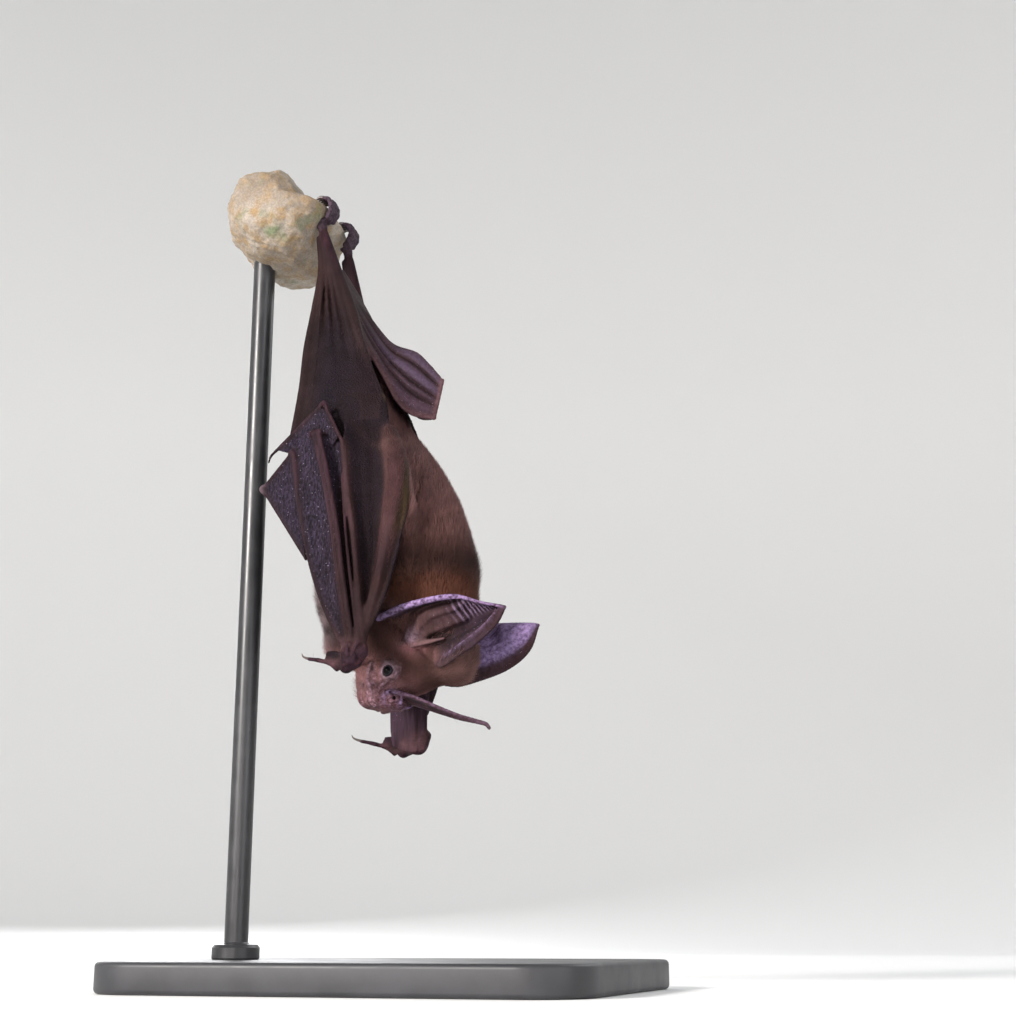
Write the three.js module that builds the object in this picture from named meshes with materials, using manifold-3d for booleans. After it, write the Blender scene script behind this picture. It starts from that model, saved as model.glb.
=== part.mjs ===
// A sword-nosed bat (Lonchorhina aurita) asleep head-down, its feet hooked over a piece of rock that a
// plain display stand holds up. Millimetres. The origin is the centre of the underside of the base;
// +Z is up, +X is the side of the bat's back and -Y is its right side.
import * as THREE from 'three';
import { mergeVertices } from 'three/addons/utils/BufferGeometryUtils.js';
import Module from 'manifold-3d';

const wasm = await Module();
wasm.setup();

// ---------------------------------------------------------------- driving sizes, mm
const GAP = 0.3; // clear space between neighbouring sub-parts
const WEB = 0.7; // thickness of a wing membrane, which is really two folded layers
const EAR = 0.8; // thickness of an ear's shell
const SIDES = { right: -1, left: 1 };

// Where the flesh lies, as [x, distance out from the middle, z], for the right side of the body.
// The left wing hangs lower and a little further back, and the left foot lower by FOOT_DROP.
const LEFT_WING = { drop: 13.6, back: -0.4 };
const FOOT_DROP = 1.8;
const SHOULDER = [4, 9, 85];
const ELBOW = [2.2, 14.8, 114];
const WRIST = [-3.8, 16.8, 64.9];
const KNEE = [-8.8, 10, 142];
const LEFT_KNEE = [-14, 11, 142];
const HIP = [-5.4, 5.4, 122];
const ANKLE = [-19, 5.2, 167.6];

// The long bones of the hand, each from the wrist up to its last joint.
const FINGER_3 = [[-5.4, 17.3, 67], [-9.6, 18, 75], [-13.5, 18.3, 86], [-16.2, 18.4, 98.6], [-18.4, 18, 110]];
const FINGER_3_KNUCKLE = [-26.4, 15.2, 103.4];
const FINGER_3_END = [-14.7, 17.2, 86.6];
const FINGER_4 = [[-3.8, 17.9, 68], [-5.8, 19, 81], [-7.7, 19.4, 94], [-10, 19.4, 104.6], [-12.5, 19, 113.7]];
const FINGER_4_END = [-14.4, 16.2, 99];
const FINGER_5 = [[-1.6, 17.4, 68.5], [-2.5, 18.1, 80], [-3.7, 18.4, 91], [-5.4, 18.3, 101], [-6.7, 18, 111]];
const FINGER_5_BEND = [-11.6, 17.4, 120.6];
const FINGER_5_TIP = [-23.2, 16, 111.4];
const FOREARM = [[-2.6, 16.6, 67.5], [0, 16.8, 74], [1.8, 16.5, 83], [3, 16.1, 94], [3.4, 15.7, 105], ELBOW];
const ARM_EDGE = [[0, 16.7, 72], [2.4, 16.3, 77], [5.4, 15.4, 88.5], [6.4, 14.4, 98], [5, 14.6, 106]];

const HEAD_CENTRE = new THREE.Vector3(2, 0, 68);
const HEAD_TURN = { yaw: -12, pitch: 22, roll: 5 }; // degrees

const BASE = { length: 100, width: 80, height: 6, corner: 12, bevel: 1 };
const ROD = { radius: 2.5, x: -36, foot: 2.5, top: 173 };

// ---------------------------------------------------------------- points and frames
const vec = ([x, y, z]) => new THREE.Vector3(x, y, z);
const onSide = side => ([x, out, z]) => new THREE.Vector3(x, side * out, z);
const path = points => new THREE.CatmullRomCurve3(points, false, 'centripetal');
const mix = (a, b, t) => a + (b - a) * t;

// The head's own frame: r towards the nose, l towards its left, d towards its crown.
const headFrame = (() => {
  const { yaw, pitch, roll } = HEAD_TURN;
  const turn = (make, degrees) => new THREE.Matrix4()[make](THREE.MathUtils.degToRad(degrees));
  const frame = new THREE.Matrix4().makeBasis(vec([0, 0, -1]), vec([0, 1, 0]), vec([1, 0, 0]));
  frame.multiply(turn('makeRotationZ', yaw)).multiply(turn('makeRotationY', pitch));
  return frame.multiply(turn('makeRotationX', roll)).setPosition(HEAD_CENTRE);
})();
const inHead = (r, l, d) => new THREE.Vector3(r, l, d).applyMatrix4(headFrame);

// The value at t (0 to 1) in a list of evenly spaced values.
function along(values, t) {
  const place = t * (values.length - 1);
  const first = Math.min(Math.floor(place), values.length - 2);
  return mix(values[first], values[first + 1], place - first);
}

// ---------------------------------------------------------------- closed solids
// A solid from points and triangles, turned so that its faces point out.
function closedSolid(points, index) {
  let volume = 0;
  const cross = new THREE.Vector3();
  for (let i = 0; i < index.length; i += 3) {
    volume += points[index[i]].dot(cross.crossVectors(points[index[i + 1]], points[index[i + 2]]));
  }
  const outward = volume > 0 ? index : index.toReversed();
  const geometry = new THREE.BufferGeometry().setFromPoints(points).setIndex(outward);
  return solidOf(geometry);
}

function solidOf(geometry) {
  geometry.deleteAttribute('normal');
  geometry.deleteAttribute('uv');
  const merged = mergeVertices(geometry, 1e-5);
  return new wasm.Manifold(new wasm.Mesh({
    numProp: 3,
    vertProperties: new Float32Array(merged.attributes.position.array),
    triVerts: new Uint32Array(merged.index.array),
  }));
}

// A skin over rings that all have the same number of points, closed by a fan at each end.
function skinOver(rings) {
  const count = rings[0].length;
  const middle = ring => ring.reduce((sum, p) => sum.add(p), new THREE.Vector3()).divideScalar(count);
  const points = [...rings.flat(), middle(rings[0]), middle(rings.at(-1))];
  const index = [];
  for (let j = 0; j < count; j++) {
    const next = (j + 1) % count;
    for (let i = 0; i < rings.length - 1; i++) {
      const low = i * count;
      const high = low + count;
      index.push(low + j, low + next, high + j, low + next, high + next, high + j);
    }
    const last = (rings.length - 1) * count;
    index.push(points.length - 2, next, j, points.length - 1, last + j, last + next);
  }
  return closedSolid(points, index);
}

// A round or flattened limb through the points. wide and thick are half sizes given along it, and
// across is the direction of the wide one. Both ends are rounded over.
function limb(points, { wide, thick = wide, across = [0, 1, 0], steps, sides = 8 }, grow = 0) {
  const count = steps ?? points.length - 1;
  const curve = path(points);
  const rings = [];
  const addRing = (t, shrink, push) => {
    const tangent = curve.getTangent(t);
    const side = vec(across).addScaledVector(tangent, -vec(across).dot(tangent)).normalize();
    const up = new THREE.Vector3().crossVectors(tangent, side);
    const [a, b] = [along(wide, t) + grow, along(thick, t) + grow];
    const centre = curve.getPoint(t).addScaledVector(tangent, push * Math.min(a, b));
    rings.push(Array.from({ length: sides }, (_, j) => {
      const turn = (2 * Math.PI * (j + 0.5)) / sides;
      const out = centre.clone().addScaledVector(side, a * shrink * Math.cos(turn));
      return out.addScaledVector(up, b * shrink * Math.sin(turn));
    }));
  };
  addRing(0, 0.5, -0.85);
  for (let i = 0; i <= count; i++) addRing(i / count, 1, 0);
  addRing(1, 0.5, 0.85);
  return skinOver(rings);
}

// A closed solid between two faces, each given as face(u, v) with u and v from 0 to 1.
function between(front, back, across, lengthwise) {
  const points = [];
  for (const face of [front, back]) {
    for (let i = 0; i <= lengthwise; i++) {
      for (let j = 0; j <= across; j++) points.push(face(j / across, i / lengthwise));
    }
  }
  const count = points.length / 2;
  const row = across + 1;
  const index = [];
  const quad = (a, b, c, d) => index.push(a, b, c, a, c, d);
  for (let i = 0; i < lengthwise; i++) {
    for (let j = 0; j < across; j++) {
      const a = i * row + j;
      quad(a, a + 1, a + row + 1, a + row);
      quad(count + a, count + a + row, count + a + row + 1, count + a + 1);
    }
    const [left, right] = [i * row, i * row + across];
    quad(left, left + row, count + left + row, count + left);
    quad(right, count + right, count + right + row, right + row);
  }
  for (let j = 0; j < across; j++) {
    const [near, far] = [j, lengthwise * row + j];
    quad(near, count + near, count + near + 1, near + 1);
    quad(far, far + 1, count + far + 1, count + far);
  }
  return closedSolid(points, index);
}

// A sheet of even thickness over surface(u, v). Grown, it is thicker and its edges reach out as well.
function sheet(surface, thickness, across, lengthwise, grow = 0) {
  const step = 1e-3;
  const beyond = place => (place === 0 ? -grow : place === 1 ? grow : 0);
  const face = lift => (u, v) => {
    const here = surface(u, v);
    const [uStep, vStep] = [u < 0.5 ? step : -step, v < 0.5 ? step : -step];
    const du = surface(u + uStep, v).sub(here).multiplyScalar(Math.sign(uStep)).normalize();
    const dv = surface(u, v + vStep).sub(here).multiplyScalar(Math.sign(vStep)).normalize();
    here.addScaledVector(du, beyond(u)).addScaledVector(dv, beyond(v));
    return here.addScaledVector(du.cross(dv).normalize(), lift);
  };
  return between(face(thickness / 2 + grow), face(-thickness / 2 - grow), across, lengthwise);
}

function ball(centre, radii, grow = 0, detail = 6) {
  const geometry = new THREE.SphereGeometry(1, detail, Math.ceil(detail * 0.6));
  geometry.scale(...radii.map(radius => radius + grow));
  return solidOf(geometry.applyMatrix4(headFrame.clone().setPosition(centre)));
}

function block(size, centre) {
  return solidOf(new THREE.BoxGeometry(...size).translate(...centre));
}

// ---------------------------------------------------------------- the model and its clear gaps
const bat = new THREE.Group();
const placed = []; // what stands already, as makers that can also give a shape grown by the gap

const material = (color, roughness) => new THREE.MeshStandardMaterial({ color, roughness, metalness: 0 });
const fur = material('#5b463f', 0.9);
const bareSkin = material('#7d5f60', 0.6);
const membrane = material('#3c2f38', 0.55);
const earSkin = material('#5a454a', 0.5);
const eyeBlack = material('#0a0708', 0.1);
const rock = material('#6e6458', 0.95);
const standBlack = material('#26262a', 0.6);

const meets = (a, b) => [0, 1, 2].every(k => a.min[k] <= b.max[k] && b.min[k] <= a.max[k]);

// Adds a sub-part: the shape less its placed neighbours grown by the gap, without loose crumbs.
function add(name, look, make, within = shape => shape) {
  let shape = within(make(0));
  for (const other of placed) {
    if (meets(shape.boundingBox(), other.box)) shape = shape.subtract(other.grown);
  }
  const largest = shape.simplify(0.05).decompose().toSorted((a, b) => b.volume() - a.volume())[0];
  const { vertProperties, triVerts } = largest.getMesh();
  const geometry = new THREE.BufferGeometry();
  geometry.setAttribute('position', new THREE.BufferAttribute(vertProperties, 3)).setIndex([...triVerts]);
  const mesh = new THREE.Mesh(geometry, look);
  mesh.name = name;
  bat.add(mesh);
}

// Makes later sub-parts keep clear of this shape.
function keepClearOf(make) {
  const grown = make(GAP);
  placed.push({ grown, box: grown.boundingBox() });
}

function addAndKeepClear(name, look, make) {
  add(name, look, make);
  keepClearOf(make);
}

// ---------------------------------------------------------------- display stand
function rodShape(grow) {
  const length = ROD.top - ROD.foot + 2 * grow;
  const geometry = new THREE.CylinderGeometry(ROD.radius + grow, ROD.radius + grow, length, 16);
  return solidOf(geometry.rotateX(Math.PI / 2).translate(ROD.x, 0, (ROD.top + ROD.foot) / 2));
}

function baseShape() {
  const { length, width, height, corner, bevel } = BASE;
  const [x, y] = [length / 2 - bevel, width / 2 - bevel];
  const outline = new THREE.Shape();
  outline.absarc(x - corner, y - corner, corner, 0, Math.PI / 2);
  outline.absarc(corner - x, y - corner, corner, Math.PI / 2, Math.PI);
  outline.absarc(corner - x, corner - y, corner, Math.PI, 1.5 * Math.PI);
  outline.absarc(x - corner, corner - y, corner, 1.5 * Math.PI, 2 * Math.PI);
  const plate = new THREE.ExtrudeGeometry(outline, {
    depth: height - 2 * bevel, bevelThickness: bevel, bevelSize: bevel, bevelSegments: 1, curveSegments: 3,
  });
  return solidOf(plate.translate(0, 0, bevel));
}

// The rock: one side view, drawn with the ledge that the claws hook over, carried across the piece
// and drawn in towards its ends. The ledge slopes down to the bat's left foot.
const LEDGE = { x: -18.2, z: 172.1, slope: -FOOT_DROP / 10.5 };
const ROCK_SIDE = [
  [0, 0], [-1.4, 1.1], [-4.4, 1.2], [-5.6, 4.6], [-9, 9.4], [-15.5, 10.6], [-21, 8.6],
  [-24.6, 2.4], [-23.4, -6], [-17, -10.2], [-8.5, -10.6], [-3.4, -8.4], [-1, -4.4],
];
const ROCK_HALF = 14;

function perchShape(grow) {
  const middle = [-13, -1];
  const rings = [-1, -0.88, -0.6, -0.2, 0.25, 0.65, 0.9, 1].map((place, i) => {
    const y = place * (ROCK_HALF + grow);
    const size = 1 - 0.45 * Math.abs(place) ** 4;
    return ROCK_SIDE.map(([x, z], j) => {
      const rough = j < 3 ? 0 : 0.9 * Math.sin(2.3 * i + 1.7 * j);
      const [dx, dz] = [x - middle[0], z - middle[1]];
      const reach = size * (1 + (rough + grow) / Math.hypot(dx, dz));
      return new THREE.Vector3(LEDGE.x + middle[0] + dx * reach, y,
        LEDGE.z + LEDGE.slope * (y + 4.5) + middle[1] + dz * reach);
    });
  });
  return skinOver(rings);
}

addAndKeepClear('stand_rod', standBlack, rodShape);
addAndKeepClear('stand_perch', rock, perchShape);
addAndKeepClear('stand_base', standBlack, baseShape);

// ---------------------------------------------------------------- eyes
const eyeCentre = side => inHead(5.5, side * 4.7, 0.2);
const eyeShape = side => grow => ball(eyeCentre(side), [1.2, 1.2, 1.2], grow, 9);
for (const [word, side] of Object.entries(SIDES)) addAndKeepClear(`eye_${word}`, eyeBlack, eyeShape(side));

// ---------------------------------------------------------------- ears
// An ear is a shell between its outer and inner margins, sunk by its hollow behind the opening.
const EARS = {
  right: {
    outer: [[-1.8, -8.2, 75], [5.5, -11.2, 76.6], [16.6, -12.4, 77.6], [22.4, -12.2, 76], [27, -11.4, 75]],
    inner: [[10.3, -6.2, 63.4], [14.6, -7.6, 65.6], [20.4, -9.2, 68.6], [25, -10.6, 72], [27, -11.4, 75]],
    behind: [-0.35, 0.68, 0.64],
  },
  left: {
    outer: [[-1.6, 8.6, 73.4], [5.8, 11.8, 74.6], [16.2, 13, 76.2], [22, 12.6, 76.2], [27.2, 11.2, 75.4]],
    inner: [[8.6, 3.4, 61.2], [14.4, 5.6, 62.8], [21.8, 8.6, 66.2], [25.6, 10, 70], [27.2, 11.2, 75.4]],
    behind: [-0.35, -0.68, 0.64],
  },
};
const EAR_HOLLOW = 4.4;

// The ear's shell, or with filled the whole space from the shell out past the opening.
function earShape({ outer, inner, behind }, filled = false) {
  const [outerEdge, innerEdge] = [path(outer.map(vec)), path(inner.map(vec))];
  const opening = (u, v) => outerEdge.getPoint(v * 0.985).lerp(innerEdge.getPoint(v * 0.985), u);
  const sunk = (u, v) => (EAR_HOLLOW * (1 - v) ** 0.6 + 0.3) * Math.sin(Math.PI * u);
  const shell = (u, v) => opening(u, v).addScaledVector(vec(behind), sunk(u, v));
  const outside = (u, v) => opening(u, v).addScaledVector(vec(behind), -4 * (1 - v) - 0.2);
  return filled ? () => between(outside, shell, 4, 4) : grow => sheet(shell, EAR, 5, 6, grow);
}

const tragusShape = side => grow => limb(
  [[2.6, 6.6, 69.4], [6, 8.4, 69.3], [9.5, 9.2, 69.6], [12.6, 9.6, 70]].map(onSide(side)),
  { wide: [1.6, 1.5, 1, 0.4], thick: [0.5, 0.45, 0.4, 0.3], across: [0, side * 0.5, -1], sides: 6 }, grow);

for (const [word, side] of Object.entries(SIDES)) {
  addAndKeepClear(`tragus_${word}`, earSkin, tragusShape(side));
  addAndKeepClear(`ear_${word}`, earSkin, earShape(EARS[word]));
}

// ---------------------------------------------------------------- trunk, neck and head in their coat
// Level slices of the trunk from the rump down to the neck: height, middle, half depth, half width.
const TRUNK_SLICES = [
  [137, -9.2, 1.6, 1.8], [135.5, -9, 3.6, 3.6], [132, -8.6, 5, 5.4], [128, -8.1, 6.4, 7.1],
  [123, -7.4, 7.7, 8.3], [118, -6.3, 9.1, 9.4], [113, -4.6, 11.1, 10.4], [107.5, -2.8, 13, 11.1],
  [101.5, -1.4, 14.7, 11.9], [95.6, -0.6, 16.1, 12.5], [90, -0.4, 17.5, 12.9], [85, -0.6, 18.4, 12.6],
  [80, -0.6, 18.6, 11.2], [75, -0.2, 18, 9.4], [70, 0, 17, 8.2], [66, 0.4, 14.6, 7],
];
// Slices of the head across its own length: place, lowest, highest, half width.
const HEAD_SLICES = [
  [-7, -13, 14.5, 8.4], [-3, -12.9, 16.4, 8.3], [0.6, -12, 16.2, 7.7], [3, -11.4, 13.9, 6.7],
  [4.6, -10.9, 10.9, 5.9], [6, -10.5, 7.8, 5.3], [7.4, -9.9, 5.2, 4.9], [9.2, -9.1, 3.5, 4.5],
  [11, -7.8, 2.2, 3.9], [12.2, -6.6, 1.2, 3.2], [13.1, -5, -0.4, 2],
];
const COAT_SIDES = 18;

function trunkShape(grow) {
  return skinOver(TRUNK_SLICES.map(([z, x, deep, wide]) => Array.from({ length: COAT_SIDES }, (_, j) => {
    const turn = (2 * Math.PI * j) / COAT_SIDES;
    return new THREE.Vector3(x + (deep + grow) * Math.cos(turn), (wide + grow) * Math.sin(turn), z);
  })));
}

function skullShape(grow) {
  return skinOver(HEAD_SLICES.map(([r, low, high, wide]) => Array.from({ length: COAT_SIDES }, (_, j) => {
    const turn = (2 * Math.PI * j) / COAT_SIDES;
    const half = (high - low) / 2 + grow;
    return inHead(r, (wide + grow) * Math.sin(turn), (high + low) / 2 + half * Math.cos(turn));
  })));
}

// The head adds the disc round the nostrils, the two lip pads and the chin.
function headShape(grow) {
  const pads = [
    ball(inHead(9.7, 0, 1.9), [1.5, 2.6, 2.2], grow),
    ball(inHead(11.6, -2, -1.5), [2, 1.9, 2.1], grow),
    ball(inHead(11.6, 2, -1.5), [2, 1.9, 2.1], grow),
    ball(inHead(12.1, 0, -4), [1.7, 2.4, 2.1], grow),
  ];
  const mouth = ball(inHead(13.2, 0, -2.8), [3.2, 4.4, 0.3], -grow);
  return pads.reduce((head, pad) => head.add(pad), skullShape(grow)).subtract(mouth);
}

// The coat stands back from the openings of the ears.
const openings = Object.values(EARS).map(ear => earShape(ear, true)());
const bodyShape = grow => openings.reduce((body, opening) => body.subtract(opening),
  trunkShape(grow).add(headShape(grow)));
const NECK_TOP = 83;
const NECK_FOOT = 76;
const slab = (low, high) => shape => shape.intersect(block([90, 90, high - low], [0, 0, (high + low) / 2]));
add('trunk', fur, bodyShape, slab(NECK_TOP + GAP, 150));
add('neck', fur, bodyShape, slab(NECK_FOOT + GAP, NECK_TOP));
add('head', fur, bodyShape, slab(40, NECK_FOOT));
keepClearOf(bodyShape);

// ---------------------------------------------------------------- nose leaf
// The leaf stands up from behind the nostrils like a sword blade.
const leafShape = grow => limb(
  [[8.8, 0, 3], [8.6, 0, 7.5], [8.7, 0, 13], [8.6, 0, 19], [8.1, 0, 24.6]].map(place => inHead(...place)),
  { wide: [2.8, 3, 2.5, 1.5, 0.3], thick: [0.8, 0.6, 0.5, 0.4, 0.3], steps: 6, sides: 6,
    across: inHead(0, 1, 0).sub(inHead(0, 0, 0)).toArray() }, grow);
addAndKeepClear('nose_leaf', earSkin, leafShape);

// ---------------------------------------------------------------- legs and feet
function legPlaces(side) {
  const drop = side === SIDES.left ? FOOT_DROP : 0;
  const place = onSide(side);
  const ankle = place(ANKLE).add(new THREE.Vector3(drop, 0, -drop));
  return { hip: place(HIP), knee: place(side === SIDES.left ? LEFT_KNEE : KNEE), ankle, drop };
}

function legShape(side) {
  const { hip, knee, ankle } = legPlaces(side);
  const shin = knee.clone().lerp(ankle, 0.5);
  return grow => limb([hip, hip.clone().lerp(knee, 0.5), knee, shin, ankle],
    { wide: [2.6, 2.6, 1.9, 1.4, 1], thick: [3, 2.8, 1.9, 1.4, 1], steps: 6, sides: 8 }, grow);
}

// A foot: a flat sole and five toes whose claws hook over the ledge.
function footShape(side) {
  const { ankle, drop } = legPlaces(side);
  const down = -drop;
  const middle = side * 4.6 + (side > 0 ? 1.4 : 0);
  const spot = (x, y, z) => new THREE.Vector3(x + drop * 0.2, middle + y, z + down);
  return grow => {
    const heel = ankle.clone().add(new THREE.Vector3(-0.1, 0, 1.5));
    let foot = limb([heel, spot(-17.6, 0, 169.6), spot(-16.6, 0, 170.6)],
      { wide: [0.9, 1.7, 2.4], thick: [0.9, 0.75, 0.6], sides: 6 }, grow);
    for (let toe = -2; toe <= 2; toe++) {
      const y = toe * 1.05;
      const bones = [spot(-16.7, y * 0.85, 170), spot(-15.8, y, 172.2), spot(-17.3, y * 1.1, 174.4),
        spot(-19.6, y * 1.15, 173.6)];
      foot = foot.add(limb(bones, { wide: [0.55, 0.55, 0.5, 0.3], sides: 4 }, grow));
    }
    return foot;
  };
}

for (const [word, side] of Object.entries(SIDES)) {
  addAndKeepClear(`leg_${word}`, membrane, legShape(side));
  addAndKeepClear(`foot_${word}`, membrane, footShape(side));
}

// ---------------------------------------------------------------- wings
// Places on a wing. What hangs from the arm is lower on the left wing.
function wingPlaces(side) {
  const { drop, back } = side === SIDES.left ? LEFT_WING : { drop: 0, back: 0 };
  return ([x, out, z]) => new THREE.Vector3(x + back, side * out, z - drop);
}

// A finger: the bone of the palm, then straight bones from joint to joint, thicker at the joints.
function fingerShape(palm, joints, radius, knob) {
  const points = [...palm];
  const wide = palm.map((_, i) => (i === palm.length - 1 ? knob : radius));
  for (const joint of joints) {
    const last = points.at(-1);
    points.push(last.clone().lerp(joint, 0.14), last.clone().lerp(joint, 0.86), joint);
    wide.push(radius, radius, joint === joints.at(-1) ? 0.3 : knob);
  }
  return grow => limb(points, { wide, sides: 5 }, grow);
}

function addArm(word, side) {
  const place = wingPlaces(side);
  const shoulder = onSide(side)(SHOULDER);
  const elbow = place(ELBOW);
  const bend = shoulder.clone().lerp(elbow, 0.5).add(new THREE.Vector3(1.4, side * 1.8, 0));
  addAndKeepClear(`upper_arm_${word}`, bareSkin, grow => limb([shoulder, bend, elbow],
    { wide: [2.6, 1.8, 1.4], steps: 3, sides: 7 }, grow));
  addAndKeepClear(`forearm_${word}`, bareSkin, grow => limb(FOREARM.map(place),
    { wide: [1, 0.95, 1.1, 1.5, 2, 1.8], thick: [1, 1, 1.2, 1.8, 2.4, 2.1], sides: 7 }, grow));
  addAndKeepClear(`hand_${word}`, membrane, grow => limb(
    [[-5.8, 16.4, 63.8], WRIST, [-1.8, 16.6, 66.2]].map(place),
    { wide: [1.7, 2.1, 1.7], thick: [1.6, 2.4, 1.9], sides: 8 }, grow));
  addAndKeepClear(`thumb_${word}`, bareSkin, grow => limb(
    [[-7.2, 16.6, 64], [-10.2, 16, 65], [-13.4, 15, 66], [-15.2, 14.3, 66.1], [-16.4, 14, 67]].map(place),
    { wide: [1.5, 0.9, 0.55, 0.4, 0.3], thick: [0.7, 0.5, 0.5, 0.4, 0.3], across: [0, 0, 1], sides: 5 },
    grow));
}

function addFingers(word, side) {
  const place = wingPlaces(side);
  const [third, fourth, fifth] = [FINGER_3, FINGER_4, FINGER_5].map(finger => finger.map(place));
  addAndKeepClear(`finger_3_${word}`, membrane,
    fingerShape(third, [FINGER_3_KNUCKLE, FINGER_3_END].map(place), 0.45, 0.8));
  addAndKeepClear(`finger_4_${word}`, membrane, fingerShape(fourth, [place(FINGER_4_END)], 0.75, 0.9));
  addAndKeepClear(`finger_5_${word}`, membrane,
    fingerShape(fifth, [FINGER_5_BEND, FINGER_5_TIP].map(place), 0.5, 0.6));
}

// A membrane stretched between two lines, clear of the limbs along them by the inset on each side,
// from the place start on. fold gives how far it sinks towards the body.
function web(from, to, { fold = () => 0, inset = [0, 0], start = 0, across = 3, lengthwise = 6, inward }) {
  const [first, second] = [path(from), path(to)];
  const surface = (u, v) => {
    const place = mix(start, 1, v);
    const [near, far] = [first.getPoint(place), second.getPoint(place)];
    const width = Math.max(near.distanceTo(far), 1e-6);
    const [low, high] = inset.map(clear => Math.min(clear / width, 0.46));
    return near.lerp(far, mix(low, 1 - high, u)).addScaledVector(inward, fold(u, v));
  };
  return grow => sheet(surface, WEB, across, lengthwise, grow);
}

// How far from a bone's middle a membrane starts.
const clearOf = radius => radius + GAP + WEB / 2;

function addWebs(word, side) {
  const place = wingPlaces(side);
  const fixed = onSide(side);
  const inward = new THREE.Vector3(0, -side, 0);
  const [third, fourth, fifth, arm] = [FINGER_3, FINGER_4, FINGER_5, FOREARM].map(line => line.map(place));
  const { ankle, knee, hip } = legPlaces(side);
  const drop = side === SIDES.left ? LEFT_WING.drop : 0;
  const shift = (point, x, out, z) => point.clone().add(new THREE.Vector3(x, side * out, z));
  const arch = (u, v) => Math.sin(Math.PI * u) * Math.min(1, 0.3 + 2 * v);
  const webs = {
    tip: web([place(FINGER_3_END), third[3], third[4]],
      [place(FINGER_3_END), place(FINGER_3_KNUCKLE).lerp(place(FINGER_3_END), 0.4), place(FINGER_3_KNUCKLE)],
      { inset: [clearOf(0.45), clearOf(0.45)], start: 0.22, lengthwise: 4, inward }),
    fingers_3_4: web([...third, place([-19.2, 17.2, 113])], [...fourth, place([-13.4, 18.4, 115])],
      { fold: (u, v) => 0.5 * arch(u, v), inset: [clearOf(0.45), clearOf(0.75)], start: 0.12, inward }),
    fingers_4_5: web(fourth, fifth, { fold: (u, v) => 1.1 * arch(u, v),
      inset: [clearOf(0.75), clearOf(0.5)], start: 0.36, across: 2, inward }),
    fingers_5_arm: web([...fifth, place([-6.2, 17.4, 114])], [...arm.slice(0, 5), place([1.2, 16, 112])], {
      fold: (u, v) => 1.9 * arch(u, v),
      inset: [clearOf(0.5), clearOf(1.7)], start: 0.2, inward,
    }),
    finger_5_tip: web([place([-8.6, 16.8, 114.4]), place([-13.2, 16.6, 117.2]), place([-20.6, 16, 112.2])],
      [place([-9.4, 17, 111]), place([-13.6, 17.6, 115.6]), place([-19.4, 16.4, 111.6])],
      { across: 1, lengthwise: 4, inward }),
    arm_edge: web(FOREARM.slice(1, 5).map(place), ARM_EDGE.map(place),
      { inset: [clearOf(1.2), 0], across: 1, lengthwise: 5, inward }),
    body: web([shift(ankle, -0.6, 0, -3), fixed([-17.8, 7.6, 156]), fixed([-18.2, 9.6, 145.7 - drop * 0.3]),
      fixed([-18.9, 11.4, 135.8 - drop * 0.6]), fixed([-19, 13, 126 - drop * 0.9]), place([-20.2, 14, 115])],
    [shift(ankle, 0.2, 0, -3.2), shift(ankle.clone().lerp(knee, 0.55), 0.6, 1.6, 0), shift(knee, 1.8, 2, -1),
      shift(hip.clone().lerp(knee, 0.35), 4, 4, 0), fixed([0.4, 12.6, 120 - drop * 0.5]),
      place([0.4, 13, 112.4])],
    { fold: (u, v) => -1.5 * Math.sin(Math.PI * u) * Math.min(1, 1.6 * v), start: 0.05, across: 4,
      lengthwise: 8, inward }),
  };
  for (const [part, shape] of Object.entries(webs)) addAndKeepClear(`web_${part}_${word}`, membrane, shape);
}

for (const [word, side] of Object.entries(SIDES)) {
  addArm(word, side);
  addFingers(word, side);
  addWebs(word, side);
}

// ---------------------------------------------------------------- tail and its membrane
// The tail runs up from the rump between the shins, bends over and hangs in the fold of its membrane.
const TAIL = [[-8.6, 0, 138], [-10.8, 0, 143.4], [-10.6, 0, 147.4], [-7.2, 0, 143], [-2.4, 0, 136.6],
  [2.4, 0, 129.4], [6.2, 0, 122.2]];
const tailShape = grow => limb(TAIL.map(vec),
  { wide: [0.9, 0.8, 0.65, 0.65, 0.6, 0.5, 0.4], steps: 8, sides: 5 }, grow);
addAndKeepClear('tail', membrane, tailShape);

// The membrane: a fan folded over the tail, with a near and a far flap that hang from its upper edge.
const FAN_RIDGE = [[-16, 0, 159], [-12.6, 0, 151.8], [-8, 0.4, 145], [-3.4, 0.8, 139.6], [2.6, 0.8, 137],
  [8.9, 0, 129.4]];
const FAN_HEM = [[-14.6, 6.2, 154.6], [-11.4, 6.6, 148.2], [-6.7, 6.6, 137], [-2.4, 6, 128.7],
  [1.2, 4.6, 122], [7, 2, 120.6]];

function fanShape(grow) {
  const ridge = path(FAN_RIDGE.map(vec));
  const hems = [SIDES.right, SIDES.left].map(side => path(FAN_HEM.map(onSide(side))));
  const pleats = 2;
  const surface = (u, v) => {
    const side = u < 0.5 ? -1 : 1;
    const down = Math.abs(2 * u - 1);
    const point = ridge.getPoint(v).lerp(hems[side < 0 ? 0 : 1].getPoint(v), down);
    const bulge = 2.4 * Math.sqrt(down) * (1 - down) + 0.45 * Math.sin(2 * Math.PI * pleats * down) * v;
    return point.add(new THREE.Vector3(0, side * bulge, 0));
  };
  return sheet(surface, WEB, 14, 4, grow);
}
add('tail_membrane', membrane, fanShape);

export default bat;
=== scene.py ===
"""Looks of a sword-nosed bat (Lonchorhina aurita) that hangs head-down from a rock on a display stand.
Shapes are worked out in millimetres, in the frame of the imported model, and written to Blender in metres."""
import math

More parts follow.
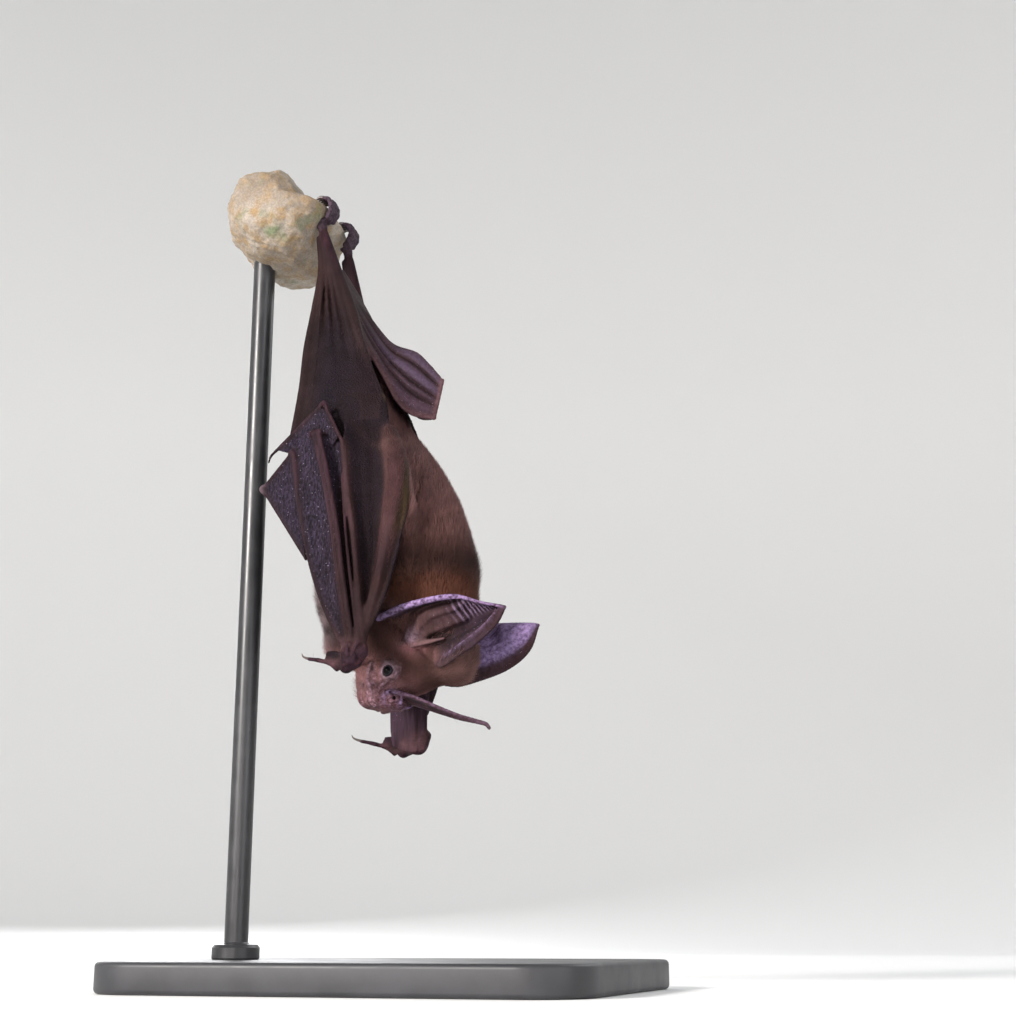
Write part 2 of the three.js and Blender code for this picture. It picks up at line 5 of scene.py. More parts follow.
import bpy
import numpy as np
import openvdb
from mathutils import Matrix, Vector


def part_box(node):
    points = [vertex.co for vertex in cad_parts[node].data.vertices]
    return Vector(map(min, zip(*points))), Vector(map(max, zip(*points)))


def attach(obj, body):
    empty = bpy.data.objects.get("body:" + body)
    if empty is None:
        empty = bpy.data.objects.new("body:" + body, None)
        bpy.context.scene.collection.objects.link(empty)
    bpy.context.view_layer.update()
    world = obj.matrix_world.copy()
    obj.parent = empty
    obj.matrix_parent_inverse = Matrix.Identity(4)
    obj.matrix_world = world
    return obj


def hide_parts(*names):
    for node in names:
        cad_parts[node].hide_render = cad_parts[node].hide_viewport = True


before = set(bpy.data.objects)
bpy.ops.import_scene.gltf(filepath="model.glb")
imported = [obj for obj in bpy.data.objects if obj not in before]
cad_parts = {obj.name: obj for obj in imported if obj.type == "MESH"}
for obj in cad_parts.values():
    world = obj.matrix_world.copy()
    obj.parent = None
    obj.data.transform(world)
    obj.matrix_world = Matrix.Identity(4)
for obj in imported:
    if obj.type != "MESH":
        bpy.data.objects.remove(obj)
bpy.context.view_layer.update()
MM = 0.001
rng = np.random.default_rng(7)

# ---------------------------------------------------------------- driving sizes, mm, as in the solids
SIDES = {"right": -1, "left": 1}
LEFT_WING = {"drop": 13.6, "back": -0.4}
FOOT_DROP = 1.8
SHOULDER, ELBOW, WRIST = [4, 9, 85], [2.2, 14.8, 114], [-3.8, 16.8, 64.9]
KNEE, HIP, ANKLE = [-8.8, 10, 142], [-5.4, 5.4, 122], [-19, 5.2, 167.6]
LEFT_KNEE = [-14, 11, 142]
FINGER_3 = [[-5.4, 17.3, 67], [-9.6, 18, 75], [-13.5, 18.3, 86], [-16.2, 18.4, 98.6], [-18.4, 18, 110]]
FINGER_3_KNUCKLE = [-26.4, 15.2, 103.4]
FINGER_3_END = [-14.7, 17.2, 86.6]
FINGER_4 = [[-3.8, 17.9, 68], [-5.8, 19, 81], [-7.7, 19.4, 94], [-10, 19.4, 104.6], [-12.5, 19, 113.7]]
FINGER_5 = [[-1.6, 17.4, 68.5], [-2.5, 18.1, 80], [-3.7, 18.4, 91], [-5.4, 18.3, 101], [-6.7, 18, 111]]
FINGER_5_BEND = [-11.6, 17.4, 120.6]
FINGER_5_TIP = [-23.2, 16, 111.4]
FINGER_5_FOLD = [[-2.3, 17.9, 69], [-3.4, 18.2, 77], [-4.6, 18.5, 86], [-6, 18.5, 98], [-6.7, 18.1, 104]]
FOREARM = [[-2.6, 16.6, 67.5], [0, 16.8, 74], [1.8, 16.5, 83], [3, 16.1, 94], [3.4, 15.7, 105], ELBOW]
ARM_EDGE = [[0, 16.7, 72], [2.4, 16.3, 77], [5.4, 15.4, 88.5], [6.4, 14.4, 98], [5, 14.6, 106]]
TRUNK_SLICES = [
    [137, -9.2, 1.6, 1.8], [135.5, -9, 3.6, 3.6], [132, -8.6, 5, 5.4], [128, -8.1, 6.4, 7.1],
    [123, -7.4, 7.7, 8.3], [118, -6.3, 9.1, 9.4], [113, -4.6, 11.1, 10.4], [107.5, -2.8, 13, 11.1],
    [101.5, -1.4, 14.7, 11.9], [95.6, -0.6, 16.1, 12.5], [90, -0.4, 17.5, 12.9], [85, -0.6, 18.4, 12.6],
    [80, -0.6, 18.6, 11.2], [75, -0.2, 18, 9.4], [70, 0, 17, 8.2], [66, 0.4, 14.6, 7]]
HEAD_SLICES = [
    [-7, -13, 14.5, 8.4], [-3, -12.9, 16.4, 8.3], [0.6, -12, 16.2, 7.7], [3, -11.4, 13.9, 6.7],
    [4.6, -10.9, 10.9, 5.9], [6, -10.5, 7.8, 5.3], [7.4, -9.9, 5.2, 4.9], [9.2, -9.1, 3.5, 4.5],
    [11, -7.8, 2.2, 3.9], [12.2, -6.6, 1.2, 3.2], [13.1, -5, -0.4, 2]]
EARS = {
    "right": {
        "outer": [[-1.8, -8.2, 75], [5.5, -11.2, 76.6], [16.6, -12.4, 77.6], [22.4, -12.2, 76],
                  [27, -11.4, 75]],
        "inner": [[10.3, -6.2, 63.4], [14.6, -7.6, 65.6], [20.4, -9.2, 68.6], [25, -10.6, 72],
                  [27, -11.4, 75]],
        "behind": [-0.35, 0.68, 0.64]},
    "left": {
        "outer": [[-1.6, 8.6, 73.4], [5.8, 11.8, 74.6], [16.2, 13, 76.2], [22, 12.6, 76.2],
                  [27.2, 11.2, 75.4]],
        "inner": [[8.6, 3.4, 61.2], [14.4, 5.6, 62.8], [21.8, 8.6, 66.2], [25.6, 10, 70], [27.2, 11.2, 75.4]],
        "behind": [-0.35, -0.68, 0.64]}}
EAR_HOLLOW = 4.4
LEAF = [[8.8, 0, 3], [8.6, 0, 7.5], [8.7, 0, 13], [8.6, 0, 18], [8.2, 0, 22], [8.1, 0, 24], [8.7, 0, 25.2]]
TRAGUS = [[2.6, 6.6, 69.4], [6, 8.4, 69.3], [9.5, 9.2, 69.6], [12.6, 9.6, 70]]
TAIL = [[-8.6, 0, 138], [-10.8, 0, 143.4], [-10.6, 0, 147.4], [-7.2, 0, 143], [-2.4, 0, 136.6],
        [2.4, 0, 129.4], [6.2, 0, 122.2]]
FAN_RIDGE = [[-16, 0, 159], [-12.6, 0, 151.8], [-8, 0.4, 145], [-3.4, 0.8, 139.6], [1.6, 0.8, 137.3],
             [2.8, 0.7, 136.5], [5.9, 0.4, 133.1], [8.9, 0, 129.4]]
FAN_HEM = [[-14.6, 7.2, 154.6], [-11.4, 8.2, 148.2], [-6.9, 7.4, 137], [-2.4, 6, 128.7],
           [0.2, 4.8, 123.6], [2.4, 3.4, 121.4], [4.6, 1.9, 120.7], [7, 0.2, 120.6]]
FLANK_SEAM = [[0.2, 123], [3.3, 119], [6.1, 111.5], [6.9, 102.7], [6, 96.3], [4.6, 90]]  # forwards, up
LEDGE = {"x": -18.2, "z": 172.1, "slope": -FOOT_DROP / 10.5}
ROCK_SIDE = [[0, 0], [-1.4, 1.1], [-4.4, 1.2], [-5.6, 4.6], [-9, 9.4], [-15.5, 10.6], [-21, 8.6],
             [-24.6, 2.4], [-23.4, -6], [-17, -10.2], [-8.5, -10.6], [-3.4, -8.4], [-1, -4.4]]
ROCK_HALF = 14


# ---------------------------------------------------------------- points, lines and frames
def unit(v):
    v = np.asarray(v, float)
    return v / np.maximum(np.linalg.norm(v, axis=-1, keepdims=True), 1e-9)


def turn(axis, degrees):
    c, s = math.cos(math.radians(degrees)), math.sin(math.radians(degrees))
    i, j = [(1, 2), (2, 0), (0, 1)][axis]
    m = np.eye(3)
    m[i, i] = m[j, j] = c
    m[i, j], m[j, i] = -s, s
    return m


# The head's frame: towards the nose, towards its left, towards its crown.
HEAD_CENTRE = np.array([2.0, 0, 68])
HEAD_AXES = np.array([[0, 0, -1], [0, 1, 0], [1, 0, 0]], float).T @ turn(2, -12) @ turn(1, 22) @ turn(0, 5)


def in_head(places):
    return np.asarray(places, float) @ HEAD_AXES.T + HEAD_CENTRE


def head_place(points):
    return (np.asarray(points, float) - HEAD_CENTRE) @ HEAD_AXES


def on_side(side, points, drop=0, back=0):
    return np.asarray(points, float) * [1, side, 1] + [back, 0, -drop]


def smooth(low, high, x):
    t = np.clip((x - low) / (high - low), 0, 1)
    return t * t * (3 - 2 * t)


def bell(x, centre, width):
    return np.exp(-(((x - centre) / width) ** 2))


def along(values, t):
    return np.interp(np.asarray(t) * (len(values) - 1), np.arange(len(values)), values)


def spline(points):
    """A centripetal Catmull-Rom curve through the points, as a function of 0 to 1."""
    p = np.asarray(points, float)
    q = np.vstack([2 * p[0] - p[1], p, 2 * p[-1] - p[-2]])
    gap = np.maximum((np.diff(q, axis=0) ** 2).sum(1, keepdims=True) ** 0.25, 1e-4)
    before, here, after = gap[:-2], gap[1:-1], gap[2:]
    a, b, c, d = q[:-3], q[1:-2], q[2:-1], q[3:]
    start = ((b - a) / before - (c - a) / (before + here) + (c - b) / here) * here
    end = ((c - b) / here - (d - b) / (here + after) + (d - c) / after) * here

    def at(t):
        place = np.clip(np.asarray(t, float), 0, 1) * (len(p) - 1)
        i = np.minimum(place.astype(int), len(p) - 2)
        w = (place - i)[..., None]
        third = 3 * (c - b) - 2 * start - end
        fourth = 2 * (b - c) + start + end
        return b[i] + w * (start[i] + w * (third[i] + w * fourth[i]))
    return at


# ---------------------------------------------------------------- closed meshes
def loft(rings):
    """A skin over rings (n, sides, 3), closed by a fan at each end: points and triangles."""
    n, sides = rings.shape[:2]
    points = np.vstack([rings.reshape(-1, 3), rings[0].mean(0), rings[-1].mean(0)])
    j = np.arange(sides)
    k = (j + 1) % sides
    faces = []
    for i in range(n - 1):
        a, b = i * sides, (i + 1) * sides
        faces += [np.stack([a + j, a + k, b + j], 1), np.stack([a + k, b + k, b + j], 1)]
    last = (n - 1) * sides
    faces += [np.stack([np.full(sides, len(points) - 2), k, j], 1),
              np.stack([np.full(sides, len(points) - 1), last + j, last + k], 1)]
    return points, np.vstack(faces)


def limb(points, wide, thick=None, across=(0, 1, 0), rings=None, sides=20, caps=4):
    """A round or flattened limb through the points, with rounded ends."""
    thick = wide if thick is None else thick
    at = spline(points)
    t = np.linspace(0, 1, rings or 10 * (len(points) - 1) + 1)
    centre = at(t)
    tangent = unit(at(np.clip(t + 1e-3, 0, 1)) - at(np.clip(t - 1e-3, 0, 1)))
    a, b = along(wide, t), along(thick, t)
    lift = np.radians(np.linspace(80, 20, caps))
    near = np.minimum(a, b)
    centre = np.vstack([centre[0] - tangent[0] * near[0] * np.sin(lift)[:, None], centre,
                        centre[-1] + tangent[-1] * near[-1] * np.sin(lift[::-1])[:, None]])
    size = np.concatenate([np.cos(lift), np.ones(len(t)), np.cos(lift[::-1])])
    pad = lambda v: np.concatenate([np.repeat(v[:1], caps, 0), v, np.repeat(v[-1:], caps, 0)])
    tangent, a, b = pad(tangent), pad(a) * size, pad(b) * size
    side = unit(across - (tangent @ np.asarray(across, float))[:, None] * tangent)
    up = np.cross(tangent, side)
    around = 2 * np.pi * np.arange(sides) / sides
    return loft(centre[:, None] + side[:, None] * (a[:, None] * np.cos(around))[..., None]
                + up[:, None] * (b[:, None] * np.sin(around))[..., None])


def between(front, back):
    """A closed solid between two grids of points (rows, columns, 3) of the same size."""
    rows, columns = front.shape[:2]
    points = np.vstack([front.reshape(-1, 3), back.reshape(-1, 3)])
    grid = np.arange(rows * columns).reshape(rows, columns)
    a, b, c, d = (g.ravel() for g in (grid[:-1, :-1], grid[:-1, 1:], grid[1:, 1:], grid[1:, :-1]))
    n = rows * columns
    faces = [np.stack([a, b, c], 1), np.stack([a, c, d], 1),
             np.stack([a + n, c + n, b + n], 1), np.stack([a + n, d + n, c + n], 1)]
    for edge in (grid[0], grid[-1], grid[:, 0], grid[:, -1]):
        p, q = edge[:-1], edge[1:]
        faces += [np.stack([p, q, q + n], 1), np.stack([p, q + n, p + n], 1)]
    return points, np.vstack(faces)


def sheet(surface, thickness):
    """A closed sheet over a grid of points (rows, columns, 3), with a thickness for each or for all."""
    normal = unit(np.cross(np.gradient(surface, axis=1), np.gradient(surface, axis=0)))
    half = np.broadcast_to(thickness, surface.shape[:2])[..., None] / 2
    return between(surface + normal * half, surface - normal * half)


# ---------------------------------------------------------------- one distance field for all the flesh
VOXEL = 0.25
BAND = 2.6  # how far from a surface distances are kept, mm
THIN, FINE = 1.5, 1.2  # the same, for sheets and fingers and for the finest strands
LOW = np.array([-29.0, -21.6, 47.4])
SIZE = np.ceil((np.array([30.0, 21.6, 177.6]) - LOW) / VOXEL).astype(int)
flesh = np.full(SIZE, BAND, np.float32)
parts = []  # (kind, first voxel, distances)


def window(low, high):
    first = np.clip(np.floor((low - LOW) / VOXEL).astype(int), 0, SIZE - 2)
    last = np.clip(np.ceil((high - LOW) / VOXEL).astype(int) + 1, first + 2, SIZE)
    return first, last


def cell_places(first, shape):
    axes = [LOW[k] + VOXEL * (first[k] + np.arange(shape[k])) for k in range(3)]
    return np.stack(np.meshgrid(*axes, indexing="ij"), -1)


def distances(mesh, band=BAND):
    points, faces = mesh
    first, last = window(points.min(0) - band, points.max(0) + band)
    level = openvdb.FloatGrid.createLevelSetFromPolygons(
        np.ascontiguousarray(points - LOW, np.float32), triangles=np.ascontiguousarray(faces, np.uint32),
        transform=openvdb.createLinearTransform(voxelSize=VOXEL), halfWidth=band / VOXEL)
    array = np.empty(last - first, np.float32)
    level.copyToArray(array, ijk=tuple(int(i) for i in first))
    return first, array


def ball(centre, radii, axes=HEAD_AXES):
    """An ellipsoid's distances. Its centre is in the model's frame and its radii lie along the axes."""
    centre, radii = np.asarray(centre, float), np.asarray(radii, float)
    reach = np.abs(axes) @ radii + 1.2
    first, last = window(centre - reach, centre + reach)
    local = (cell_places(first, last - first) - centre) @ axes
    near = np.linalg.norm(local / radii, axis=-1)
    slope = np.linalg.norm(local / radii ** 2, axis=-1)
    return first, (near * (near - 1) / np.maximum(slope, 1e-6)).astype(np.float32)


def room(first, array):
    return tuple(slice(first[k], first[k] + array.shape[k]) for k in range(3))


def blend_min(a, b, k):
    h = np.maximum(k - np.abs(a - b), 0) / k
    return np.minimum(a, b) - h * h * k / 4


def join(kind, field, k):
    """Adds a shape to the flesh, with a fillet of about k where they meet."""
    first, array = field
    here = flesh[room(first, array)]
    here[:] = blend_min(here, array, k)
    parts.append((kind, first, array))


def carve(field, k):
    """Takes a shape out of the flesh."""
    first, array = field
    here = flesh[room(first, array)]
    here[:] = -blend_min(-here, array, k)


def add(kind, mesh, k, band=BAND):
    join(kind, distances(mesh, band), k)


def cut(mesh, k, band):
    carve(distances(mesh, band), k)


def sample(first, array, points, outside):
    """The array's value at each point, by its eight nearest cells."""
    local = (points - LOW) / VOXEL - first
    inside = ((local >= 0) & (local < np.array(array.shape) - 1.001)).all(1)
    result = np.full(len(points), outside, np.float32)
    local = local[inside]
    i = local.astype(int)
    w = local - i
    value = 0
    for corner in range(8):
        step = [(corner >> k) & 1 for k in range(3)]
        weight = np.prod([w[:, k] if step[k] else 1 - w[:, k] for k in range(3)], axis=0)
        value = value + weight * array[i[:, 0] + step[0], i[:, 1] + step[1], i[:, 2] + step[2]]
    result[inside] = value
    return result


ORIGIN = np.zeros(3, int)


# ---------------------------------------------------------------- trunk and head under their coat
def ellipse_loft(slices, to_points, count, sides=72):
    rows = spline(slices)(np.linspace(0, 1, count))
    around = 2 * np.pi * np.arange(sides) / sides
    return loft(np.stack([to_points(row, around) for row in rows]))


def trunk_ring(row, around):
    z, x, deep, wide = row
    return np.stack([x + deep * np.cos(around), wide * np.sin(around), np.full_like(around, z)], 1)


def head_ring(row, around):
    r, low, high, wide = row
    return in_head(np.stack([np.full_like(around, r), wide * np.sin(around),
                             (high + low) / 2 + (high - low) / 2 * np.cos(around)], 1))


def coat_depth(points):
    """How far the skin lies under the tips of the coat, mm."""
    r, _, d = np.moveaxis(head_place(points), -1, 0)
    z = points[..., 2]
    depth = 1.3 + 0.5 * bell(z, 84, 8) - 0.5 * smooth(122, 134, z)
    depth = depth + 0.7 * smooth(4, 10, d) * smooth(-6, 0, r)  # long on the crown
    bare = smooth(1.5, 7.5, r - 0.12 * np.maximum(d, 0))
    return depth * (1 - bare) + 0.22 * bare


trunk = distances(ellipse_loft(TRUNK_SLICES, trunk_ring, 90))
skull = distances(ellipse_loft(HEAD_SLICES, head_ring, 60))
for field in (trunk, skull):
    field[1][:] += coat_depth(cell_places(field[0], field[1].shape)).astype(np.float32)
join("body", trunk, 0.1)
join("body", skull, 2.4)

for side in SIDES.values():
    at = lambda r, l, d, s=side: in_head([r, s * l, d])
    join("face", ball(at(9.6, 1.1, 1.8), (1.5, 1.9, 1.9)), 1.0)      # behind the nostril
    join("face", ball(at(11.2, 2.0, -1.6), (1.7, 1.7, 2.0)), 0.9)    # lip pad
    join("face", ball(at(8.0, 3.9, -3.2), (1.6, 0.9, 1.2)), 0.8)     # fold of the cheek
    join("face", ball(at(7.0, 4.5, -3.0), (0.9, 0.55, 0.7)), 0.4)
    join("face", ball(at(8.6, 3.7, -0.4), (1.9, 0.6, 0.6)), 0.6)     # ridge from eye to lip
    join("face", ball(at(5.5, 4.0, 0.2), (2.3, 1.5, 2.2)), 0.9)      # round the eye
join("face", ball(in_head([11.6, 0, -4.6]), (1.9, 2.7, 2.2)), 0.9)   # chin
join("face", ball(in_head([10.2, 0, 2.2]), (1.5, 2.5, 1.9)), 0.8)    # disc of the nostrils


# ---------------------------------------------------------------- ears
def ear_grid(ear, rows=150, columns=56):
    """The ear's opening from outer rim (u 0) to front margin (u 1), and from base (v 0) to tip (v 1)."""
    v, u = np.meshgrid(np.linspace(0, 1, rows), np.linspace(0, 1, columns), indexing="ij")
    outer, inner = spline(ear["outer"])(v * 0.985), spline(ear["inner"])(v * 0.985)
    return u, v, outer + (inner - outer) * u[..., None]


def ear_depth(u, v):
    deep = (EAR_HOLLOW - 1.4 * (1 - v)) * (1 - v) ** 0.6 + 0.3
    return deep * np.sin(np.pi * u) ** 0.75 * (0.5 + 0.5 * smooth(0, 0.25, v))


def ear_sheet(word):
    """The ear's shell: deep next to the outer rim, with a raised lobe and eight cross ridges."""
    ear = EARS[word]
    u, v, opening = ear_grid(ear)
    sunk = ear_depth(u, v)
    base = 1 - smooth(0.46, 0.62, v)
    edge = np.interp(v, [0, 0.05, 0.22, 0.33, 0.45, 0.6], [0.46, 0.43, 0.35, 0.26, 0.24, 0.1])
    lobe = smooth(edge - 0.05, edge + 0.02, u) * (1 - smooth(0.54, 0.68, u)) * smooth(0, 0.05, v) * base
    lobe = -1.7 * lobe * (1 + 0.25 * bell(u, edge + 0.04, 0.05))
    groove = 0.8 * bell(u, edge - 0.09, 0.06) * base + 0.5 * bell(u, 0.80, 0.05) * smooth(0.1, 0.3, v)
    ribs = 0.65 * np.maximum(0, np.sin(2 * np.pi * (v / 0.045 - 0.9 * u))) ** 1.5
    ribs = -ribs * smooth(0.45, 0.5, v) * (1 - smooth(0.8, 0.86, v)) * bell(u, 0.30, 0.22)
    tuck = 1.3 * (1 - smooth(0, 0.1, v)) * smooth(0.7, 0.95, u)
    lift = np.maximum(sunk + lobe + groove + ribs, 0.0) + tuck
    surface = opening + np.asarray(ear["behind"]) * lift[..., None]
    return surface, 0.5 + 0.25 * bell(u, 1, 0.05)


def ear_room(word):
    ear = EARS[word]
    u, v, opening = ear_grid(ear, 40, 16)
    behind = np.asarray(ear["behind"])
    sunk = ear_depth(u, v)
    outside = opening - behind * (4 * (1 - v) + 0.2)[..., None]
    return between(outside, opening + behind * (sunk + 0.1)[..., None])


for word in SIDES:
    cut(ear_room(word), 0.6, THIN)
for word, side in SIDES.items():
    surface, thickness = ear_sheet(word)
    add("ear", sheet(surface, thickness), 0.5, THIN)
    outer = EARS[word]["outer"]
    rim = spline(outer)(np.linspace(0, 0.62, 10))
    add("rim", limb(rim, [0.7, 0.75, 0.7, 0.6, 0.35], sides=16), 0.25, THIN)
    add("rim", limb(spline(outer)(np.linspace(0.6, 1, 8)), [0.35, 0.25, 0.3], sides=12), 0.25, THIN)
    inner = EARS[word]["inner"]
    add("band", limb(spline(inner)(np.linspace(0.12, 1, 14)), [0.25, 0.35, 0.35, 0.3], sides=12), 0.3, THIN)
    t = np.linspace(0.06, 0.94, 14)
    inwards = unit(spline(outer)(t) - spline(inner)(t))
    strip = spline(inner)(t) + 0.85 * inwards + 0.25 * np.asarray(EARS[word]["behind"])
    add("band", limb(strip, [0.4, 0.9, 1.0, 0.9, 0.3], [0.25, 0.4, 0.45, 0.4, 0.25], across=inwards[7],
                     rings=60), 0.2, THIN)
    # a thin pale strip along the band's upper edge: painted highlight
    add("rim", limb(strip[2:-1] + 0.8 * inwards[2:-1], [0.12, 0.2, 0.22, 0.2, 0.15], rings=60, sides=12),
        0.2, FINE)
    tragus = on_side(side, np.array(TRAGUS) - [[0.8, 0.5, 0], [0, 1.1, 0], [0, 1.5, 0], [0, 1.8, 0]])
    add("tragus", limb(tragus, [0.8, 0.8, 0.6, 0.25], [0.5, 0.5, 0.4, 0.25], across=(0, side * 0.5, -1)),
        0.5, THIN)

# ---------------------------------------------------------------- nose leaf, horseshoe, nostrils, mouth, lids
leaf_across = in_head([0, 1, 0]) - in_head([0, 0, 0])
LEAF_WIDE = [3.3, 3.5, 2.5, 1.4, 0.7, 0.4, 0.2]
add("leaf", limb(in_head(LEAF), np.array(LEAF_WIDE) - 0.1, [0.55, 0.35, 0.3, 0.28, 0.26, 0.24, 0.15],
                 across=leaf_across, rings=60), 0.5, THIN)
for side in SIDES.values():
    edge = [in_head([p[0] - 0.1, side * max(w - 0.25, 0), p[2]]) for p, w in zip(LEAF, LEAF_WIDE)]
    add("leaf_edge", limb(edge, [0.42, 0.4, 0.36, 0.3, 0.25, 0.22, 0.16], rings=60, sides=12), 0.25, FINE)
add("leaf", limb(in_head(np.array(LEAF) + [0.35, 0, 0]), [0.6, 0.5, 0.4, 0.3, 0.22, 0.2, 0.12], rings=60),
    0.5, FINE)

for side in SIDES.values():
    at = lambda rows, s=side: in_head(np.array(rows, float) * [1, s, 1])
    horseshoe = at([[8.3, 2.6, 4.6], [8.8, 3.3, 3.2], [9.3, 3.5, 1.4], [10.4, 3.0, 0.5], [11.2, 1.9, 0.6],
                    [11.5, 0.6, 1.3], [11.3, 0, 2.2]])
    add("rim", limb(horseshoe, [0.3, 0.38, 0.36, 0.34, 0.36, 0.4, 0.3], rings=50, sides=12), 0.35, FINE)
    nose_wing = at([[10.6, 0.5, 3.2], [10.2, 1.4, 4.1], [9.4, 2.3, 4.3], [8.7, 2.9, 4.3]])
    add("rim", limb(nose_wing, [0.4, 0.36, 0.3, 0.3], rings=40, sides=12), 0.3, FINE)
    carve(ball(at([[9.9, 2.1, 2.7]])[0], (0.45, 0.75, 0.35)), 0.25)    # nostril
    carve(ball(at([[9.2, 3.4, 1.9]])[0], (0.35, 0.5, 0.3)), 0.15)     # pit beside it
    for path, size in (([[5.4, 5.4, -4.3], [6.8, 5.3, -4.1], [7.8, 5.0, -3.7]], 0.6),
                       ([[8.4, 4.9, -4.2], [8.8, 4.8, -3.1], [9.0, 4.5, -1.9]], 0.55),
                       ([[7.9, 4.9, 0.9], [8.6, 4.6, 0.1], [9.3, 4.2, -1.0]], 0.45),
                       ([[4.0, 5.0, 2.2], [5.2, 5.1, 2.4], [6.6, 5.0, 1.9]], 0.5)):
        add("fold", limb(at(path), [0.5 * size, size, 0.6 * size], rings=40, sides=12), 0.45, FINE)
    for path, size in (([[4.6, 5.7, -2.9], [6.4, 5.6, -2.9], [7.6, 5.2, -2.7]], 0.3),
                       ([[7.9, 5.3, -4.4], [8.0, 5.2, -3.3], [8.1, 5.0, -2.3]], 0.26),
                       ([[9.4, 4.9, -4.2], [9.6, 4.6, -3.0], [9.5, 4.3, -1.4]], 0.28),
                       ([[8.9, 4.2, 0.3], [10.0, 3.9, 0.0], [11.2, 3.3, 0.0], [12.2, 2.4, 0.3]], 0.3),
                       ([[10.4, 4.3, -3.8], [11.4, 3.9, -3.4], [12.4, 3.1, -2.4], [12.9, 1.8, -1.7],
                         [13, 0, -1.4]], 0.3)):
        cut(limb(at(path), [0.6 * size, size, 0.6 * size], rings=50, sides=12), 0.25, FINE)
    for path, size in (([[7.0, 4.9, 1.6], [8.2, 4.7, 1.9], [9.3, 4.0, 2.0]], 0.32),
                       ([[9.7, 4.5, -0.9], [10.6, 4.2, -1.2], [11.3, 3.6, -0.9]], 0.22),
                       ([[10.2, 4.6, -2.6], [11.0, 4.3, -2.4], [11.8, 3.7, -2.0]], 0.2),
                       ([[6.2, 5.6, -5.2], [7.6, 5.3, -5.4], [9.2, 4.7, -5.6], [10.6, 3.9, -5.4]], 0.34),
                       ([[3.4, 5.7, -1.6], [3.2, 5.8, 0.2], [3.8, 5.6, 1.8]], 0.28)):
        cut(limb(at(path), [0.5 * size, size, 0.5 * size], rings=50, sides=12), 0.3, FINE)
    edge = at([[10.6, 4.0, -3.0], [11.6, 3.6, -2.5], [12.4, 2.9, -1.6], [12.8, 1.6, -1.0]])
    add("fold", limb(edge, [0.3, 0.42, 0.42, 0.3], rings=40, sides=12), 0.35, FINE)
    for i in range(7):                                                # warts along the lip and the chin
        wart = at([[12.3 - 0.42 * i, 0.5 + 0.55 * i, -3.7 - 0.2 * i]])[0]
        join("fold", ball(wart, (0.5, 0.45, 0.45)), 0.25)
        bump = at([[11.9 - 0.5 * i, 3.3 + 0.28 * i, -1.2 - 0.36 * i]])[0]
        join("fold", ball(bump, (0.42, 0.35, 0.42)), 0.3)

EYE_RADIUS = 1.3
eye_centres = {word: in_head([5.5, side * 4.7, 0.2]) for word, side in SIDES.items()}
eye_axes = {word: unit(in_head([0.12, side * 1.0, 0.05]) - in_head([0, 0, 0]))
            for word, side in SIDES.items()}
for word, side in SIDES.items():
    centre, axis = eye_centres[word], eye_axes[word]
    flat = unit(np.cross(axis, [0, 0, 1]))
    up = np.cross(axis, flat)
    around = np.linspace(0, 2 * np.pi, 25)[:, None]
    lid = centre + axis * 0.52 + 1.34 * (flat * np.cos(around) + up * np.sin(around))
    carve(ball(centre, (EYE_RADIUS + 0.08,) * 3), 0.15)
    add("lid", limb(lid, [0.27] * 4, across=axis, rings=80, sides=12, caps=2), 0.3, FINE)


# ---------------------------------------------------------------- legs and feet
def leg_places(side):
    drop = FOOT_DROP if side > 0 else 0
    ankle = on_side(side, ANKLE) + [drop, 0, -drop]
    return on_side(side, HIP), on_side(side, LEFT_KNEE if side > 0 else KNEE), ankle, drop


claws = {"feet": [], "thumbs": []}
for word, side in SIDES.items():
    hip, knee, ankle, drop = leg_places(side)
    add("leg", limb([hip, (hip + knee) / 2, knee, (knee + ankle) / 2, ankle], [2.2, 2.0, 1.5, 1.05, 0.85],
                    rings=60), 1.6)
    middle = side * 4.6 + (1.4 if side > 0 else 0)
    spot = lambda x, y, z: [x + drop * 0.2, middle + y, z - drop]
    heel = ankle + [-0.1, 0, 1.5]
    sole = [spot(-18.0, 0, 169.6), spot(-17.3, 0, 170.8)]
    add("foot", limb([ankle, heel, *sole], [1.0, 1.05, 1.5, 2.1], [1.0, 1.0, 0.75, 0.6]), 0.7)
    add("foot", limb([ankle + [-0.4, 0, 0.4], ankle + [-1.5, 0, 0.9]], [0.8, 0.5]), 0.4, FINE)
    for toe in range(-2, 3):
        y = toe * 0.95
        bend = 0.35 * math.cos(1.7 * toe + side)
        bones = [spot(-17.4, y * 0.85, 169.8), spot(-16.6, y * 0.95, 171.3),
                 spot(-16.5 + bend * 0.4, y, 172.8), spot(-17.2 + bend * 0.3, y, 174.1 + bend * 0.4),
                 spot(-18.6, y * 1.02, 174.6 + bend * 0.3)]
        add("foot", limb(bones, [0.6, 0.5, 0.66, 0.5, 0.64, 0.48, 0.6, 0.48, 0.42], rings=40, sides=14),
            0.25, FINE)
        claws["feet"].append([spot(-18.5, y * 1.02, 174.6 + bend * 0.3),
                              spot(-19.3, y * 1.04, 174.7 + bend * 0.2),
                              spot(-20.1, y * 1.06, 174.2), spot(-20.4, y * 1.06, 173.5)])


# ---------------------------------------------------------------- wings
def web(start, end, fold=None, lengthwise=90, across=26, first=0.0, thickness=0.42, inward=None):
    """A membrane from one line to the other. fold says how far it sinks towards the body, mm."""
    v, u = np.meshgrid(np.linspace(first, 1, lengthwise), np.linspace(0, 1, across), indexing="ij")
    a, b = spline(start)(v), spline(end)(v)
    surface = a + (b - a) * u[..., None]
    if fold:
        surface = surface + inward * fold(u, v)[..., None]
    return sheet(surface, thickness)


